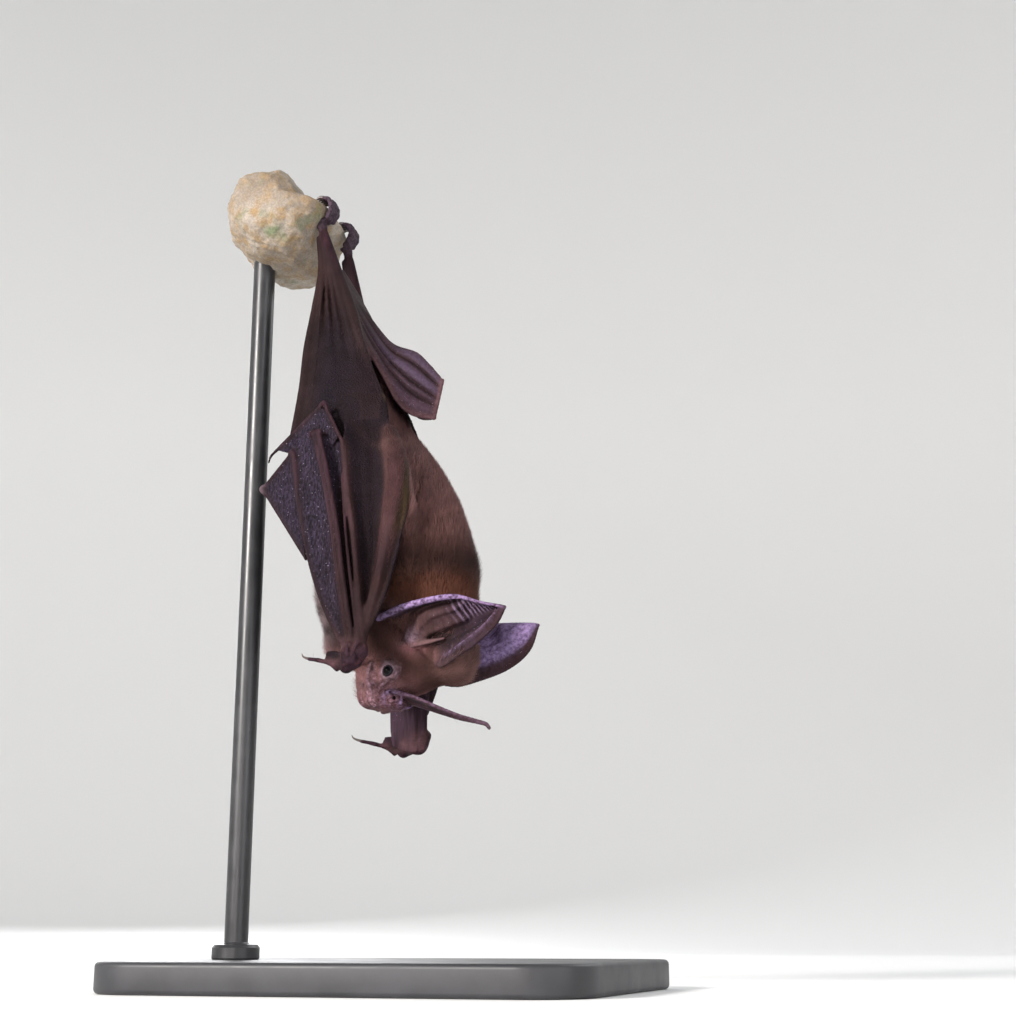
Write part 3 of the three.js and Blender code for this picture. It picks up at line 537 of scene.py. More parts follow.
def finger(palm, joints, radius, knob):
    """A finger bone by bone: thin shafts with a knob at each joint."""
    points, wide = list(palm), [radius] * (len(palm) - 1) + [knob]
    for joint in joints:
        last = points[-1]
        points += [last + (joint - last) * 0.12, last + (joint - last) * 0.88, joint]
        wide += [radius, radius * 0.9, 0.3 if joint is joints[-1] else knob]
    return limb(points, wide, rings=12 * len(points), sides=14)


for word, side in SIDES.items():
    drop, back = (LEFT_WING["drop"], LEFT_WING["back"]) if side > 0 else (0, 0)
    place = lambda p: on_side(side, p, drop, back)
    inward = np.array([0, -side, 0])
    hip, knee, ankle, _ = leg_places(side)
    shoulder, elbow = on_side(side, SHOULDER), place(ELBOW)
    third, fourth, fifth, arm = (place(p) for p in (FINGER_3, FINGER_4, FINGER_5, FOREARM))

    arch = lambda u, v: np.sin(np.pi * u) * np.minimum(1, 0.3 + 2 * v)
    pucker = lambda u, v: 0.10 * np.sin(7 * np.pi * u + 3 * v) * np.sin(np.pi * u)
    webs = {
        "tip": web([place(FINGER_3_END), third[3], third[4]],
                   [place(FINGER_3_END), place(FINGER_3_KNUCKLE) * 0.6 + place(FINGER_3_END) * 0.4,
                    place(FINGER_3_KNUCKLE)],
                   lambda u, v: 0.35 * arch(u, v) + 0.17 * np.sin(15 * np.pi * u + 3 * v) * v, inward=inward),
        "third": web([*third, place([-19.2, 17.2, 113])], [*fourth, place([-13.4, 18.4, 115])],
                     lambda u, v: 0.75 * arch(u, v) + pucker(u, v), inward=inward),
        "fourth": web(fourth, fifth, lambda u, v: 2.1 * arch(u, v) ** 0.7, inward=inward),
        "fifth": web([*fifth, *place([[-7.4, 14.4, 117], [-8.6, 10.4, 122]])],
                     [*arm[:5], *place([[1.2, 13, 113], [-0.8, 9.0, 120.6]])],
                     lambda u, v: 2.6 * arch(u, v) ** 0.8 * (1 - 0.4 * v) + pucker(u, v), inward=inward),
        "tip_5": web(place([[-7.6, 17.2, 113.4], [-12.2, 17.2, 119.4], [-23, 16, 111.6]]),
                     place([[-9.4, 17, 111], [-13.6, 17.6, 113.6], [-19.8, 16.6, 110.4]]),
                     lambda u, v: 0.3 * arch(u, v), inward=inward),
        "edge": web(arm[1:5], place(ARM_EDGE), lambda u, v: 0.5 * np.sin(np.pi * u), inward=inward),
    }
    for name, mesh in webs.items():
        add("web", mesh, 1.5 if name == "fifth" else 0.35, THIN)
    add("web", limb(place(ARM_EDGE[:3]), [0.28, 0.3, 0.25], sides=12), 0.3, FINE)

    free_edge = [ankle + [-0.6, 0, -2.6], on_side(side, [-17.8, 7.6, 156]),
                 on_side(side, [-18.2, 9.6, 145.7 - drop * 0.3]),
                 on_side(side, [-18.9, 11.4, 135.8 - drop * 0.6]),
                 on_side(side, [-19, 13, 126 - drop * 0.9]), place([-20.2, 14, 115])]
    add("web", limb(free_edge, [0.3] * 4, rings=90, sides=12), 0.2, FINE)
    body_web = web(
        free_edge,
        [ankle + [0.2, 0, -2.8], ankle + (knee - ankle) * 0.55 + [0.3, side * 0.6, 0],
         knee + [1.4, side * 1.2, -1], hip + (knee - hip) * 0.35 + [3.6, side * 3.6, 0],
         on_side(side, [0.8, 12.2, 120 - drop * 0.5]), place([1.8, 13.4, 110.4])],
        lambda u, v: (-1.6 * np.sin(np.pi * u) * np.minimum(1, 1.6 * v) * (1 - 0.7 * smooth(0.8, 1, v))
                      + (0.95 * np.cos(2 * np.pi * (5 * u - 0.4)) * bell(v, 0.30, 0.19)
                         * np.sin(np.pi * u) ** 0.5)
                      + 0.2 * np.sin(5 * np.pi * u + 8 * v) * smooth(0.3, 0.6, v)),
        lengthwise=150, across=50, inward=inward)
    add("web", body_web, 2.4)

    bend = (shoulder + elbow) / 2 + [1.6, side * 0.6, 0]
    add("body", limb([shoulder, bend, elbow + [0.6, -side * 1.2, -3]], [3.0, 2.2, 1.8, 1.2], rings=40), 2.5)
    arm_line = arm + on_side(side, [[0, 0, 0], [-0.4, 0, 0], [-0.1, -0.1, 0], [0.5, -0.4, 0], [1.1, -0.9, 0],
                                    [0, -1.8, 0]])
    add("arm", limb(arm_line, [0.7, 0.75, 1.0, 1.5, 2.2, 1.4], [0.9, 1.0, 1.2, 1.6, 2.0, 1.2], rings=60), 1.6)
    for shift, lift in ((-0.55, 0.5), (0.5, 0.55)):
        strand = arm[:4] + [[shift * 0.6, side * 0.4, 0], [shift - 0.4, side * lift, 0],
                            [shift, side * (lift + 0.2), 0], [shift + 0.5, side * lift, 0]]
        add("bone", limb(strand, [0.34, 0.34, 0.32, 0.2], rings=60, sides=14), 0.35, THIN)

    add("hand", limb(place([[-5.2, 16.6, 63.6], WRIST, [-2.2, 16.7, 66.6]]), [1.5, 2.1, 1.8],
                     [1.4, 2.1, 1.7]), 0.8)
    add("hand", limb(place([[-4.3, 17.3, 64.6], [-3.8, 17.5, 68.8]]), [2.0, 1.7], [0.9, 0.7],
                     across=(1, 0, 0)), 0.8, THIN)
    for tendon in ([[-5.2, 17.9, 67.6], [-5.3, 18.5, 65.8], [-4.8, 18.5, 63.8]],
                   [[-3.9, 18.5, 68], [-4, 19.0, 66], [-3.8, 18.7, 64]],
                   [[-2, 18.2, 68.4], [-2.6, 18.7, 66.2], [-2.9, 18.5, 64.4]]):
        add("hand", limb(place(tendon), [0.35, 0.35, 0.25], sides=12), 0.9, FINE)
    if side > 0:  # the palm of the left wing, seen under the chin
        t = np.linspace(0, 1, 30)
        lines = ([[-7.6, 15.4, 50.8], [-8.2, 15.6, 54], [-8.4, 15.4, 60], [-9, 15.2, 66]],
                 [[-3.4, 14.9, 49.6], [-3.6, 14.7, 54], [-3.6, 14.4, 60], [-3.4, 14.2, 66]],
                 [[-0.6, 15.6, 50.4], [0.2, 15.4, 54], [0.6, 15, 60], [1.2, 14.8, 66]])
        palm = sheet(np.stack([spline(line)(t) for line in lines], 1), 0.8)
        add("web", palm, 0.8, THIN)
        add("hand", limb([[-4.4, 15.9, 51.4], [-1.6, 16.0, 50.6], [-0.2, 16.2, 53.2]], [1.3, 1.5, 1.2]), 0.8)
    thumb = place([[-7.0, 16.6, 63.8], [-9.6, 16.1, 64.8], [-12.4, 15.3, 65.6], [-14.4, 14.6, 66]])
    add("hand", limb(thumb, [1.2, 0.6, 0.45, 0.5, 0.4, 0.42], [0.6, 0.5, 0.42, 0.5, 0.4, 0.42],
                     across=(0, 0, 1), rings=50), 0.5, FINE)
    add("web", web(place([[-5.4, 17, 66.4], [-7.8, 16.8, 67], [-9.6, 16.6, 67]]),
                   place([[-6.8, 16.5, 63.6], [-8.4, 16.3, 64.6], [-10.2, 16.1, 65.4]])), 0.4, FINE)
    claws["thumbs"].append(place([[-14.3, 14.6, 66.05], [-15.3, 14.3, 66.3], [-16.2, 14.0, 66.8],
                                  [-16.5, 13.9, 67.4]]))

    add("bone", finger(third, [place(FINGER_3_KNUCKLE), place(FINGER_3_END)], 0.34, 0.78), 0.25, THIN)
    for shift, lift in ((-0.5, 0.0), (0.55, 0.15)):
        strand = fourth + np.array([shift, side * lift, 0])
        add("bone", limb(strand, [0.42, 0.5, 0.52, 0.55, 0.6], rings=60, sides=14), 0.12, THIN)
    add("bone", limb([fourth[-1] + [-0.9, 0, -0.4], fourth[-1] + [0.9, 0, -0.2]], [0.7, 0.7]), 0.3, THIN)
    add("bone", finger(fifth, [place(FINGER_5_BEND), place(FINGER_5_TIP)], 0.4, 0.62), 0.25, THIN)
    add("bone", limb(place(FINGER_5_FOLD), [0.34, 0.34, 0.36, 0.3, 0.15], rings=60, sides=14), 0.8, THIN)
    hook = place([FINGER_5_TIP, [-24.4, 15.8, 110.4], [-25.0, 15.7, 109.0]])
    add("bone", limb(hook, [0.32, 0.3, 0.2], sides=12), 0.2, FINE)


# ---------------------------------------------------------------- tail and its membrane
add("web", limb(TAIL, [0.9, 0.8, 0.6, 0.6, 0.5, 0.45, 0.4], rings=60, sides=14), 0.4, THIN)
v_fan, u = np.meshgrid(np.linspace(0, 1, 130), np.linspace(0, 1, 121), indexing="ij")
down = np.abs(2 * u - 1)
far_hem = np.array(FAN_HEM)
far_hem[4:, 2] += [0.6, 0.9, 0.7, 0.2]
hem = np.where((u < 0.5)[..., None], spline(on_side(-1, FAN_HEM))(v_fan), spline(far_hem)(v_fan))
pleat = sum(size * bell(down, centre, width) for centre, width, size in
            ((0.10, 0.06, 0.4), (0.22, 0.04, -0.7), (0.36, 0.09, 0.8), (0.50, 0.035, -0.8), (0.58, 0.04, 0.5),
             (0.68, 0.04, -0.7), (0.84, 0.08, 0.6)))
ridge = spline(FAN_RIDGE)(v_fan)
pleat_size = smooth(0.02, 0.4, v_fan) * (1 - 0.5 * smooth(0.85, 1, v_fan)) * smooth(1, 0.95, v_fan)
bulge = 2.4 * down * (1 - down) * smooth(1, 0.8, v_fan) + pleat * pleat_size
fan = ridge + (hem - ridge) * down[..., None]
fan[..., 1] += np.where(u < 0.5, -1, 1) * bulge
add("fan", sheet(fan, 0.42), 0.5, THIN)
for edge, wide in ((fan[20:, 0], 0.36), (fan[20:, -1], 0.3), (fan[-1, :61], 0.34), (fan[-1, 60:], 0.3)):
    line = edge[np.linspace(0, len(edge) - 1, 16).astype(int)]
    add("hem", limb(line, [0.7 * wide, wide, wide, wide], rings=60, sides=12), 0.2, FINE)


# ---------------------------------------------------------------- from the field to the skin
def slope(points, step=0.3):
    """The direction straight out of the flesh at each point."""
    at = lambda p: sample(ORIGIN, flesh, p, BAND)
    return unit(np.stack([at(points + step * way) - at(points - step * way) for way in np.eye(3)], 1))


grid = openvdb.FloatGrid(BAND)
grid.copyFromArray(flesh)
grid.transform = openvdb.createLinearTransform(voxelSize=VOXEL)
points, quads = grid.convertToQuads(0.0)
points = points.astype(float) + LOW
quads = quads[:, ::-1].astype(int)


def keep_largest(points, quads):
    """Drops loose crumbs: keeps the biggest connected surface."""
    label = np.arange(len(points))
    for _ in range(200):
        low = label[quads].min(1)
        new = label.copy()
        for k in range(4):
            np.minimum.at(new, quads[:, k], low)
        new = new[new]
        if (new == label).all():
            break
        label = new
    names, count = np.unique(label[quads[:, 0]], return_counts=True)
    quads = quads[label[quads[:, 0]] == names[count.argmax()]]
    used, inverse = np.unique(quads, return_inverse=True)
    return points[used], inverse.reshape(quads.shape)


points, quads = keep_largest(points, quads)

KINDS = ["body", "face", "fold", "lid", "tragus", "ear", "rim", "band", "leaf", "leaf_edge", "leg", "foot",
         "arm", "hand", "bone", "web", "fan", "hem"]
SOFT_EDGES = {"arm": 0.45, "leg": 0.9, "body": 0.5}  # mm over which these fade into their neighbours
OTHER_EDGES = 0.3
FAR = 9  # further than any shape that counts, mm


def kind_weights(points):
    """How much each point belongs to each kind of part, from how close the parts' surfaces are."""
    near = {kind: np.full(len(points), FAR, np.float32) for kind in KINDS}
    for kind, first, array in parts:
        near[kind] = np.minimum(near[kind], sample(first, array, points, FAR))
    stack = np.stack([near[kind] for kind in KINDS], 1)
    softness = np.array([SOFT_EDGES.get(kind, OTHER_EDGES) for kind in KINDS])
    weight = np.exp(-(stack - stack.min(1, keepdims=True)) / softness)
    return dict(zip(KINDS, (weight / weight.sum(1, keepdims=True)).T))


def seam_mark(points):
    """How close each point is to the line along the flank where the wing's skin joins the coat; the skin is
    painted darker there, as shade in the gap.
    """
    line = spline(FLANK_SEAM)(np.linspace(0, 1, 60))
    here = points[:, [0, 2]] + np.where(points[:, 1:2] > 0, [0, 0.5 * LEFT_WING["drop"]], 0)
    near = np.min([np.hypot(*(here - spot).T) for spot in line], axis=0)
    return smooth(1.1, 0.3, near) * smooth(6, 8, np.abs(points[:, 1])) * smooth(89, 94, here[:, 1])


def lay_on(points, surface, u, v, reach=1.3):
    """The u and v of the nearest place on a surface, and how near it is, from 1 on it to 0 out of reach."""
    steps = [np.gradient(surface, axis=k).reshape(-1, 3) for k in (0, 1)]
    turns = [[np.gradient(value, axis=k).ravel() for k in (0, 1)] for value in (u, v)]
    spots = surface.reshape(-1, 3)
    low, high = spots.min(0) - reach, spots.max(0) + reach
    found = np.zeros((3, len(points)))
    close = np.flatnonzero(((points > low) & (points < high)).all(1))
    flat = spots.astype(np.float32)
    size = (flat ** 2).sum(1)
    for some in np.array_split(close, max(1, len(close) // 3000)):
        here = points[some].astype(np.float32)
        best = (size[None] - 2 * here @ flat.T).argmin(1)
        gap = points[some] - spots[best]
        a, b = steps[0][best], steps[1][best]
        aa, ab, bb, ga, gb = ((p * q).sum(1) for p, q in ((a, a), (a, b), (b, b), (gap, a), (gap, b)))
        whole = np.maximum(aa * bb - ab * ab, 1e-9)
        along_a = np.clip((ga * bb - gb * ab) / whole, -1, 1)
        along_b = np.clip((gb * aa - ga * ab) / whole, -1, 1)
        for k, value in enumerate((u, v)):
            found[k, some] = value.ravel()[best] + along_a * turns[k][0][best] + along_b * turns[k][1][best]
        found[2, some] = 1 - smooth(0.6 * reach, reach, np.linalg.norm(gap, axis=1))
    return found


# ---------------------------------------------------------------- markings that skin and coat share
def ripple(points, scale, seed):
    """Soft random values from -1 to 1, a few sine waves of about the given length in mm."""
    r = np.random.default_rng(seed)
    total = 0
    for _ in range(5):
        total = total + np.sin(points @ (unit(r.normal(size=3)) * 2 * np.pi / scale * r.uniform(0.7, 1.4))
                               + r.uniform(0, 6.28))
    return total / 5


def markings(points):
    """The coat's colour zones, each 0 to 1; the back zone carries painted light and the crease zone painted
    shade.
    """
    r, _, d = head_place(points).T
    x, y, z = points.T
    soft = 1.5 * ripple(points, 9, 3)
    neck = smooth(85 + soft, 81 + soft, z) * smooth(-4, -9, r + soft * 0.5)
    # painted shade: a dark band along the crease across the back of the neck
    crease = bell(z + soft * 0.6, 84.6, 3.0) * smooth(-6, 2, x)
    muzzle = smooth(2.5, 8, r - 0.15 * np.maximum(d, 0) + soft * 0.4)
    crown = smooth(7, 12, d) * smooth(-5, 2, r)
    belly = smooth(-4, -13, x) * smooth(60, 70, z)
    # painted light: the back is coloured paler, for the light that falls on it
    back = smooth(87 + soft, 97 + soft, z) * smooth(-9, -3, x)
    temple = np.exp(-((x - 4.8) / 2.8) ** 2 - ((z - 68.2) / 1.6) ** 2) * smooth(4, 6, np.abs(y))
    return {"neck": np.clip(neck, 0, 1), "crease": np.clip(crease, 0, 1), "muzzle": muzzle,
            "crown": crown, "belly": belly, "back": back, "temple": temple}


# ---------------------------------------------------------------- Blender objects
def make_mesh(name, points, faces, attributes=None, smooth_shade=True, scale=MM):
    """A Blender object from points in mm and faces that all have the same number of corners."""
    mesh = bpy.data.meshes.new(name)
    corners = faces.shape[1]
    mesh.vertices.add(len(points))
    mesh.vertices.foreach_set("co", np.ascontiguousarray(points * scale, np.float32).ravel())
    mesh.loops.add(faces.size)
    mesh.loops.foreach_set("vertex_index", np.ascontiguousarray(faces, np.int32).ravel())
    mesh.polygons.add(len(faces))
    mesh.polygons.foreach_set("loop_start", np.arange(0, faces.size, corners, dtype=np.int32))
    mesh.polygons.foreach_set("loop_total", np.full(len(faces), corners, np.int32))
    mesh.update(calc_edges=True)
    mesh.validate()
    mesh.polygons.foreach_set("use_smooth", np.full(len(mesh.polygons), smooth_shade))
    for key, values in (attributes or {}).items():
        layer = mesh.attributes.new(key, "FLOAT", "POINT")
        layer.data.foreach_set("value", np.ascontiguousarray(values, np.float32))
    item = bpy.data.objects.new(name, mesh)
    bpy.context.scene.collection.objects.link(item)
    return item


def settle(piece, material, slot, *nodes):
    """Gives a piece its material, hangs it on the root body and hides the nodes it stands for; the slot is
    not used.
    """
    piece.data.materials.append(material)
    if nodes:
        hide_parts(*nodes)
    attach(piece, "root")


# ---------------------------------------------------------------- materials
class Look:
    """A node material, built from small calls."""

    def __init__(self, name):
        self.material = bpy.data.materials.new(name)
        self.material.use_nodes = True
        self.tree = self.material.node_tree
        self.shader = self.tree.nodes["Principled BSDF"]
        self.coords = self.node("TexCoord").outputs["Object"]

    def node(self, kind, **settings):
        made = self.tree.nodes.new("ShaderNode" + kind)
        for key, value in settings.items():
            setattr(made, key, value)
        return made

    def put(self, socket, value):
        if isinstance(value, bpy.types.NodeSocket):
            self.tree.links.new(value, socket)
        elif isinstance(value, (tuple, list)) and len(value) == 3 and socket.type == "RGBA":
            socket.default_value = (*value, 1)
        else:
            socket.default_value = value

    def set(self, **values):
        for key, value in values.items():
            self.put(self.shader.inputs[key.replace("_", " ")], value)

    def attribute(self, name):
        return self.node("Attribute", attribute_name=name).outputs["Fac"]

    def math(self, operation, a, b=0.0, clamp=False):
        made = self.node("Math", operation=operation, use_clamp=clamp)
        self.put(made.inputs[0], a)
        self.put(made.inputs[1], b)
        return made.outputs[0]

    def spread(self, value, low, high, new_low=0.0, new_high=1.0):
        made = self.node("MapRange", clamp=True)
        for socket, item in zip(made.inputs, (value, low, high, new_low, new_high)):
            self.put(socket, item)
        return made.outputs[0]

    def times(self, a, b):
        return self.math("MULTIPLY", a, b)

    def tint(self, colour, factors):
        return self.mix(1.0, colour, factors, "MULTIPLY")

    def tone(self, value, dark, pale, low=0.3, high=0.7):
        """From the dark colour to the pale one as the value goes from low to high."""
        return self.mix(self.spread(value, low, high), dark, pale)

    def mix(self, factor, a, b, blend_type="MIX"):
        made = self.node("Mix", data_type="RGBA", blend_type=blend_type, clamp_factor=True)
        self.put(made.inputs["Factor"], factor)
        self.put(made.inputs[6], a)
        self.put(made.inputs[7], b)
        return made.outputs[2]

    def blend(self, factor, a, b):
        made = self.node("Mix", data_type="FLOAT", clamp_factor=True)
        self.put(made.inputs["Factor"], factor)
        self.put(made.inputs[2], a)
        self.put(made.inputs[3], b)
        return made.outputs[0]

    def stretched(self, scale):
        made = self.node("Mapping")
        self.put(made.inputs["Vector"], self.coords)
        made.inputs["Scale"].default_value = scale
        return made.outputs["Vector"]

    def noise(self, scale, detail=3, roughness=0.55, vector=None):
        made = self.node("TexNoise")
        self.put(made.inputs["Vector"], vector or self.coords)
        for key, value in (("Scale", scale), ("Detail", detail), ("Roughness", roughness)):
            made.inputs[key].default_value = value
        return made.outputs["Fac"]

    def cells(self, scale, feature="F1", randomness=1.0, vector=None, smoothness=None):
        made = self.node("TexVoronoi", feature=feature)
        self.put(made.inputs["Vector"], vector or self.coords)
        made.inputs["Scale"].default_value = scale
        made.inputs["Randomness"].default_value = randomness
        if smoothness is not None:
            made.inputs["Smoothness"].default_value = smoothness
        return made.outputs["Distance"]

    def warped(self, scale, amount):
        """The coordinates, pushed about by noise, for lines that wander."""
        made = self.node("TexNoise")
        self.put(made.inputs["Vector"], self.coords)
        made.inputs["Scale"].default_value = scale
        push = self.node("VectorMath", operation="MULTIPLY_ADD")
        self.put(push.inputs[0], made.outputs["Color"])
        push.inputs[1].default_value = (amount,) * 3
        self.put(push.inputs[2], self.coords)
        return push.outputs[0]

    def bump(self, height, strength=0.5, distance=0.0002, normal=None):
        made = self.node("Bump")
        made.inputs["Strength"].default_value = strength
        made.inputs["Distance"].default_value = distance
        self.put(made.inputs["Height"], height)
        if normal:
            self.put(made.inputs["Normal"], normal)
        return made.outputs["Normal"]


COAT_BROWN = (0.066, 0.033, 0.028)
COAT_NECK = (0.094, 0.038, 0.024)
COAT_CREASE_SHADE = (0.022, 0.010, 0.008)
COAT_PALE = (0.185, 0.104, 0.094)
MUZZLE_PINK = (0.23, 0.115, 0.115)


def coat_colour(look):
    """The colour that the markings give, the same on the skin and on the coat."""
    mark = look.attribute
    patchy = look.noise(160, 3)
    colour = look.tone(patchy, COAT_BROWN, (0.088, 0.045, 0.040))
    # painted light: a paler coat on the back
    painted_light_back = look.tone(patchy, (0.175, 0.090, 0.082), (0.25, 0.136, 0.126))
    colour = look.mix(mark("back"), colour, painted_light_back)
    colour = look.mix(mark("crown"), colour, COAT_PALE)
    colour = look.mix(mark("temple"), colour, (0.36, 0.170, 0.180))
    colour = look.mix(mark("belly"), colour, (0.034, 0.022, 0.023))
    colour = look.mix(mark("neck"), colour, COAT_NECK)
    # painted shade in the crease of the coat
    colour = look.mix(look.times(mark("crease"), 0.8), colour, COAT_CREASE_SHADE)
    return look.mix(mark("muzzle"), colour, MUZZLE_PINK)


def skin_look():
    look = Look("bat_skin")
    mark = look.attribute
    kind = {name: mark(name) for name in KINDS}
    broad, fine = look.noise(220, 4), look.noise(1500, 3)
    pebbles = look.cells(2100, "SMOOTH_F1", 0.9, smoothness=0.4)
    pebble = look.spread(pebbles, 0.1, 0.55, 1.0, 0.0)
    streaks = look.noise(900, 4, vector=look.stretched((1, 1, 0.12)))
    # painted highlight: small pale lilac and bluish dots in the colour stand for glints; the same dots are
    # also made less rough
    glint_dots = look.spread(look.cells(2300, "F1", 1.0), 0.13, 0.22, 1.0, 0.0)
    glint_dots = look.times(glint_dots, look.spread(look.noise(1700, 1), 0.52, 0.66))
    painted_glint_colour = look.tone(look.noise(1100, 1), (0.12, 0.13, 0.28), (0.46, 0.36, 0.48), 0.4, 0.6)
    wrinkle = look.spread(look.cells(620, "DISTANCE_TO_EDGE", 1.0, vector=look.warped(900, 0.0012)), 0.02,
                          0.14, 1.0, 0.0)

    web = look.tone(broad, (0.002, 0.001, 0.002), (0.007, 0.004, 0.007), 0.35, 0.65)
    # painted highlight: the tops of the pebbles are paler and bluish, for the light they catch
    web = look.mix(look.times(pebble, look.times(mark("pebble"), 0.7)), web, (0.014, 0.009, 0.018))
    brown_web = look.tone(broad, (0.012, 0.005, 0.005), (0.032, 0.015, 0.015))
    web = look.mix(mark("brown_web"), web, brown_web)
    # painted sheen: the hand web's flat faces get a lighter mauve colour than the rest of the membrane
    grain = look.noise(2600, 2, vector=look.stretched((1, 1, 0.45)))
    facet_sheen = look.tone(grain, (0.004, 0.003, 0.005), (0.032, 0.022, 0.041), 0.36, 0.64)
    facet_sheen = look.tone(broad, look.tint(facet_sheen, (0.6, 0.55, 0.6)), facet_sheen, 0.35, 0.65)
    web = look.mix(mark("facet_sheen"), web, facet_sheen)
    palm = look.tone(streaks, (0.009, 0.004, 0.007), (0.045, 0.024, 0.038), 0.35, 0.65)
    web = look.mix(mark("palm"), web, palm)
    bone = look.tone(broad, (0.012, 0.005, 0.008), (0.036, 0.015, 0.021))
    bone = look.tone(streaks, bone, (0.055, 0.024, 0.034), 0.45, 0.7)
    bone = look.mix(look.times(mark("low_arm"), 0.6), bone, (0.006, 0.003, 0.004))
    bone = look.mix(mark("knuckle"), bone, (0.15, 0.105, 0.125))
    hand = look.tone(broad, (0.018, 0.008, 0.013), (0.046, 0.021, 0.033))
    lines = look.cells(300, "DISTANCE_TO_EDGE", 1.0, vector=look.warped(500, 0.002))
    lines = look.spread(lines, 0.02, 0.16, 1.0, 0.0)
    # painted shade: the crease lines that the bump below carves are darkened
    hand = look.mix(look.times(lines, 0.6), hand, (0.008, 0.003, 0.005))
    hand = look.mix(look.spread(look.noise(420, 3), 0.55, 0.68, 0.0, 0.8), hand, (0.085, 0.034, 0.042))
    arm = look.mix(streaks, (0.045, 0.020, 0.022), (0.085, 0.040, 0.046))
    arm = look.mix(mark("low_arm"), arm, (0.008, 0.004, 0.006))
    arm = look.mix(mark("arm_end"), arm, brown_web)
    leg = look.tone(streaks, (0.008, 0.003, 0.005), (0.036, 0.014, 0.020))
    leg = look.mix(mark("thigh"), leg, brown_web)
    foot = look.tone(fine, (0.020, 0.012, 0.017), (0.085, 0.056, 0.078))
    ear = look.tone(broad, (0.013, 0.006, 0.010), (0.032, 0.018, 0.028))
    ear_u, ear_v, ear_near = mark("ear_u"), mark("ear_v"), mark("ear_near")
    hairy = look.tone(streaks, (0.026, 0.012, 0.012), (0.072, 0.036, 0.036))
    hairy = look.tone(ear_u, hairy, look.tone(streaks, (0.009, 0.004, 0.004), (0.030, 0.015, 0.016)),
                      0.56, 0.68)
    ear = look.mix(look.times(look.spread(ear_v, 0.60, 0.35), ear_near), ear, hairy)
    ear = look.mix(mark("lobe_end"), ear,
                   look.tone(fine, (0.060, 0.028, 0.034), (0.30, 0.20, 0.26)))
    ear = look.mix(mark("ear_pink"), ear,
                   look.mix(fine, (0.20, 0.080, 0.078), (0.38, 0.185, 0.185)))
    # painted shade in the grooves beside the outer rim and the front band
    ear = look.mix(mark("ear_groove_shade"), ear, (0.007, 0.003, 0.004))
    # painted light and shade on the ear's cross ridges: dark in the troughs, pale lilac on the crests
    wave = look.math("ADD", look.times(ear_v, 1 / 0.045), look.times(ear_u, -0.9))
    wave = look.math("SINE", look.times(wave, 6.283))
    ridges = look.times(look.spread(ear_v, 0.42, 0.5), look.spread(ear_v, 0.9, 0.84))
    ridges = look.times(look.times(ridges, look.spread(ear_u, 0.66, 0.45)), ear_near)
    ear = look.mix(look.times(look.spread(wave, 0.1, -0.6), ridges), ear, (0.010, 0.005, 0.008))
    ear = look.mix(look.times(look.spread(wave, 0.2, 0.9), ridges), ear,
                   look.mix(fine, (0.10, 0.06, 0.10), (0.24, 0.17, 0.27)))
    # painted light: the far ear is coloured a pale lilac, much lighter than the near one, for the light and
    # sheen on it
    painted_light_lilac = look.tone(fine, (0.105, 0.066, 0.145), (0.33, 0.235, 0.45))
    ear = look.mix(look.times(mark("far_ear_painted_light"), 0.85), ear, painted_light_lilac)
    # painted highlight: the rolled rims of the ears and round the nose are coloured pale lilac, for the light
    # along their edges
    rim = look.tone(fine, (0.062, 0.037, 0.076), (0.32, 0.22, 0.42), 0.38, 0.62)
    leaf = look.tone(streaks, (0.011, 0.005, 0.007), (0.034, 0.018, 0.025))
    blotch = look.spread(look.noise(850, 3, 0.6), 0.42, 0.58)
    face = look.tone(fine, (0.105, 0.044, 0.046), (0.34, 0.18, 0.215))
    # painted shade: the wrinkle lines that the bump below carves are darkened
    face = look.mix(look.times(wrinkle, 0.75), face, (0.040, 0.015, 0.016))
    glints = look.spread(look.cells(1900, "F1", 1.0), 0.12, 0.26, 1.0, 0.0)
    face = look.mix(look.times(glints, look.spread(look.noise(700, 2), 0.5, 0.62, 0.0, 0.7)), face,
                    (0.44, 0.30, 0.38))
    face = look.mix(blotch, look.tint(face, (0.38, 0.31, 0.32)), look.tint(face, (1.3, 1.4, 1.6)))
    lid = look.tone(fine, (0.20, 0.13, 0.16), (0.36, 0.27, 0.33))
    band = look.tone(streaks, (0.009, 0.0045, 0.008), (0.032, 0.019, 0.034))
    fan_down = mark("fan_down")
    fan = look.tone(fine, (0.026, 0.013, 0.019), (0.056, 0.032, 0.044), 0.35, 0.65)
    # painted light and shade on the pleats: paler stripes along the ridges, near-black ones in the folds
    # between them
    for place, wide, tint in ((0.09, 0.09, (0.070, 0.047, 0.076)), (0.22, 0.05, (0.005, 0.002, 0.003)),
                              (0.36, 0.10, (0.080, 0.054, 0.090)), (0.50, 0.05, (0.005, 0.002, 0.003)),
                              (0.59, 0.04, (0.050, 0.030, 0.042)), (0.68, 0.05, (0.004, 0.002, 0.003)),
                              (0.84, 0.09, (0.066, 0.038, 0.056))):
        pleat_light_and_shade = look.spread(look.math("ABSOLUTE", look.math("SUBTRACT", fan_down, place)), 0.3 * wide, wide,
                             0.9, 0.0)
        pleat_light_and_shade = look.times(pleat_light_and_shade, look.spread(mark("fan_along"), 0.1, 0.35, 0.2, 1.0))
        fan = look.mix(pleat_light_and_shade, fan, look.tone(fine, tuple(0.6 * c for c in tint), tint))
    fan = look.tone(mark("fan_along"), fan, brown_web, 0.42, 0.2)
    hem = look.tone(fine, (0.050, 0.022, 0.030), (0.10, 0.052, 0.068))
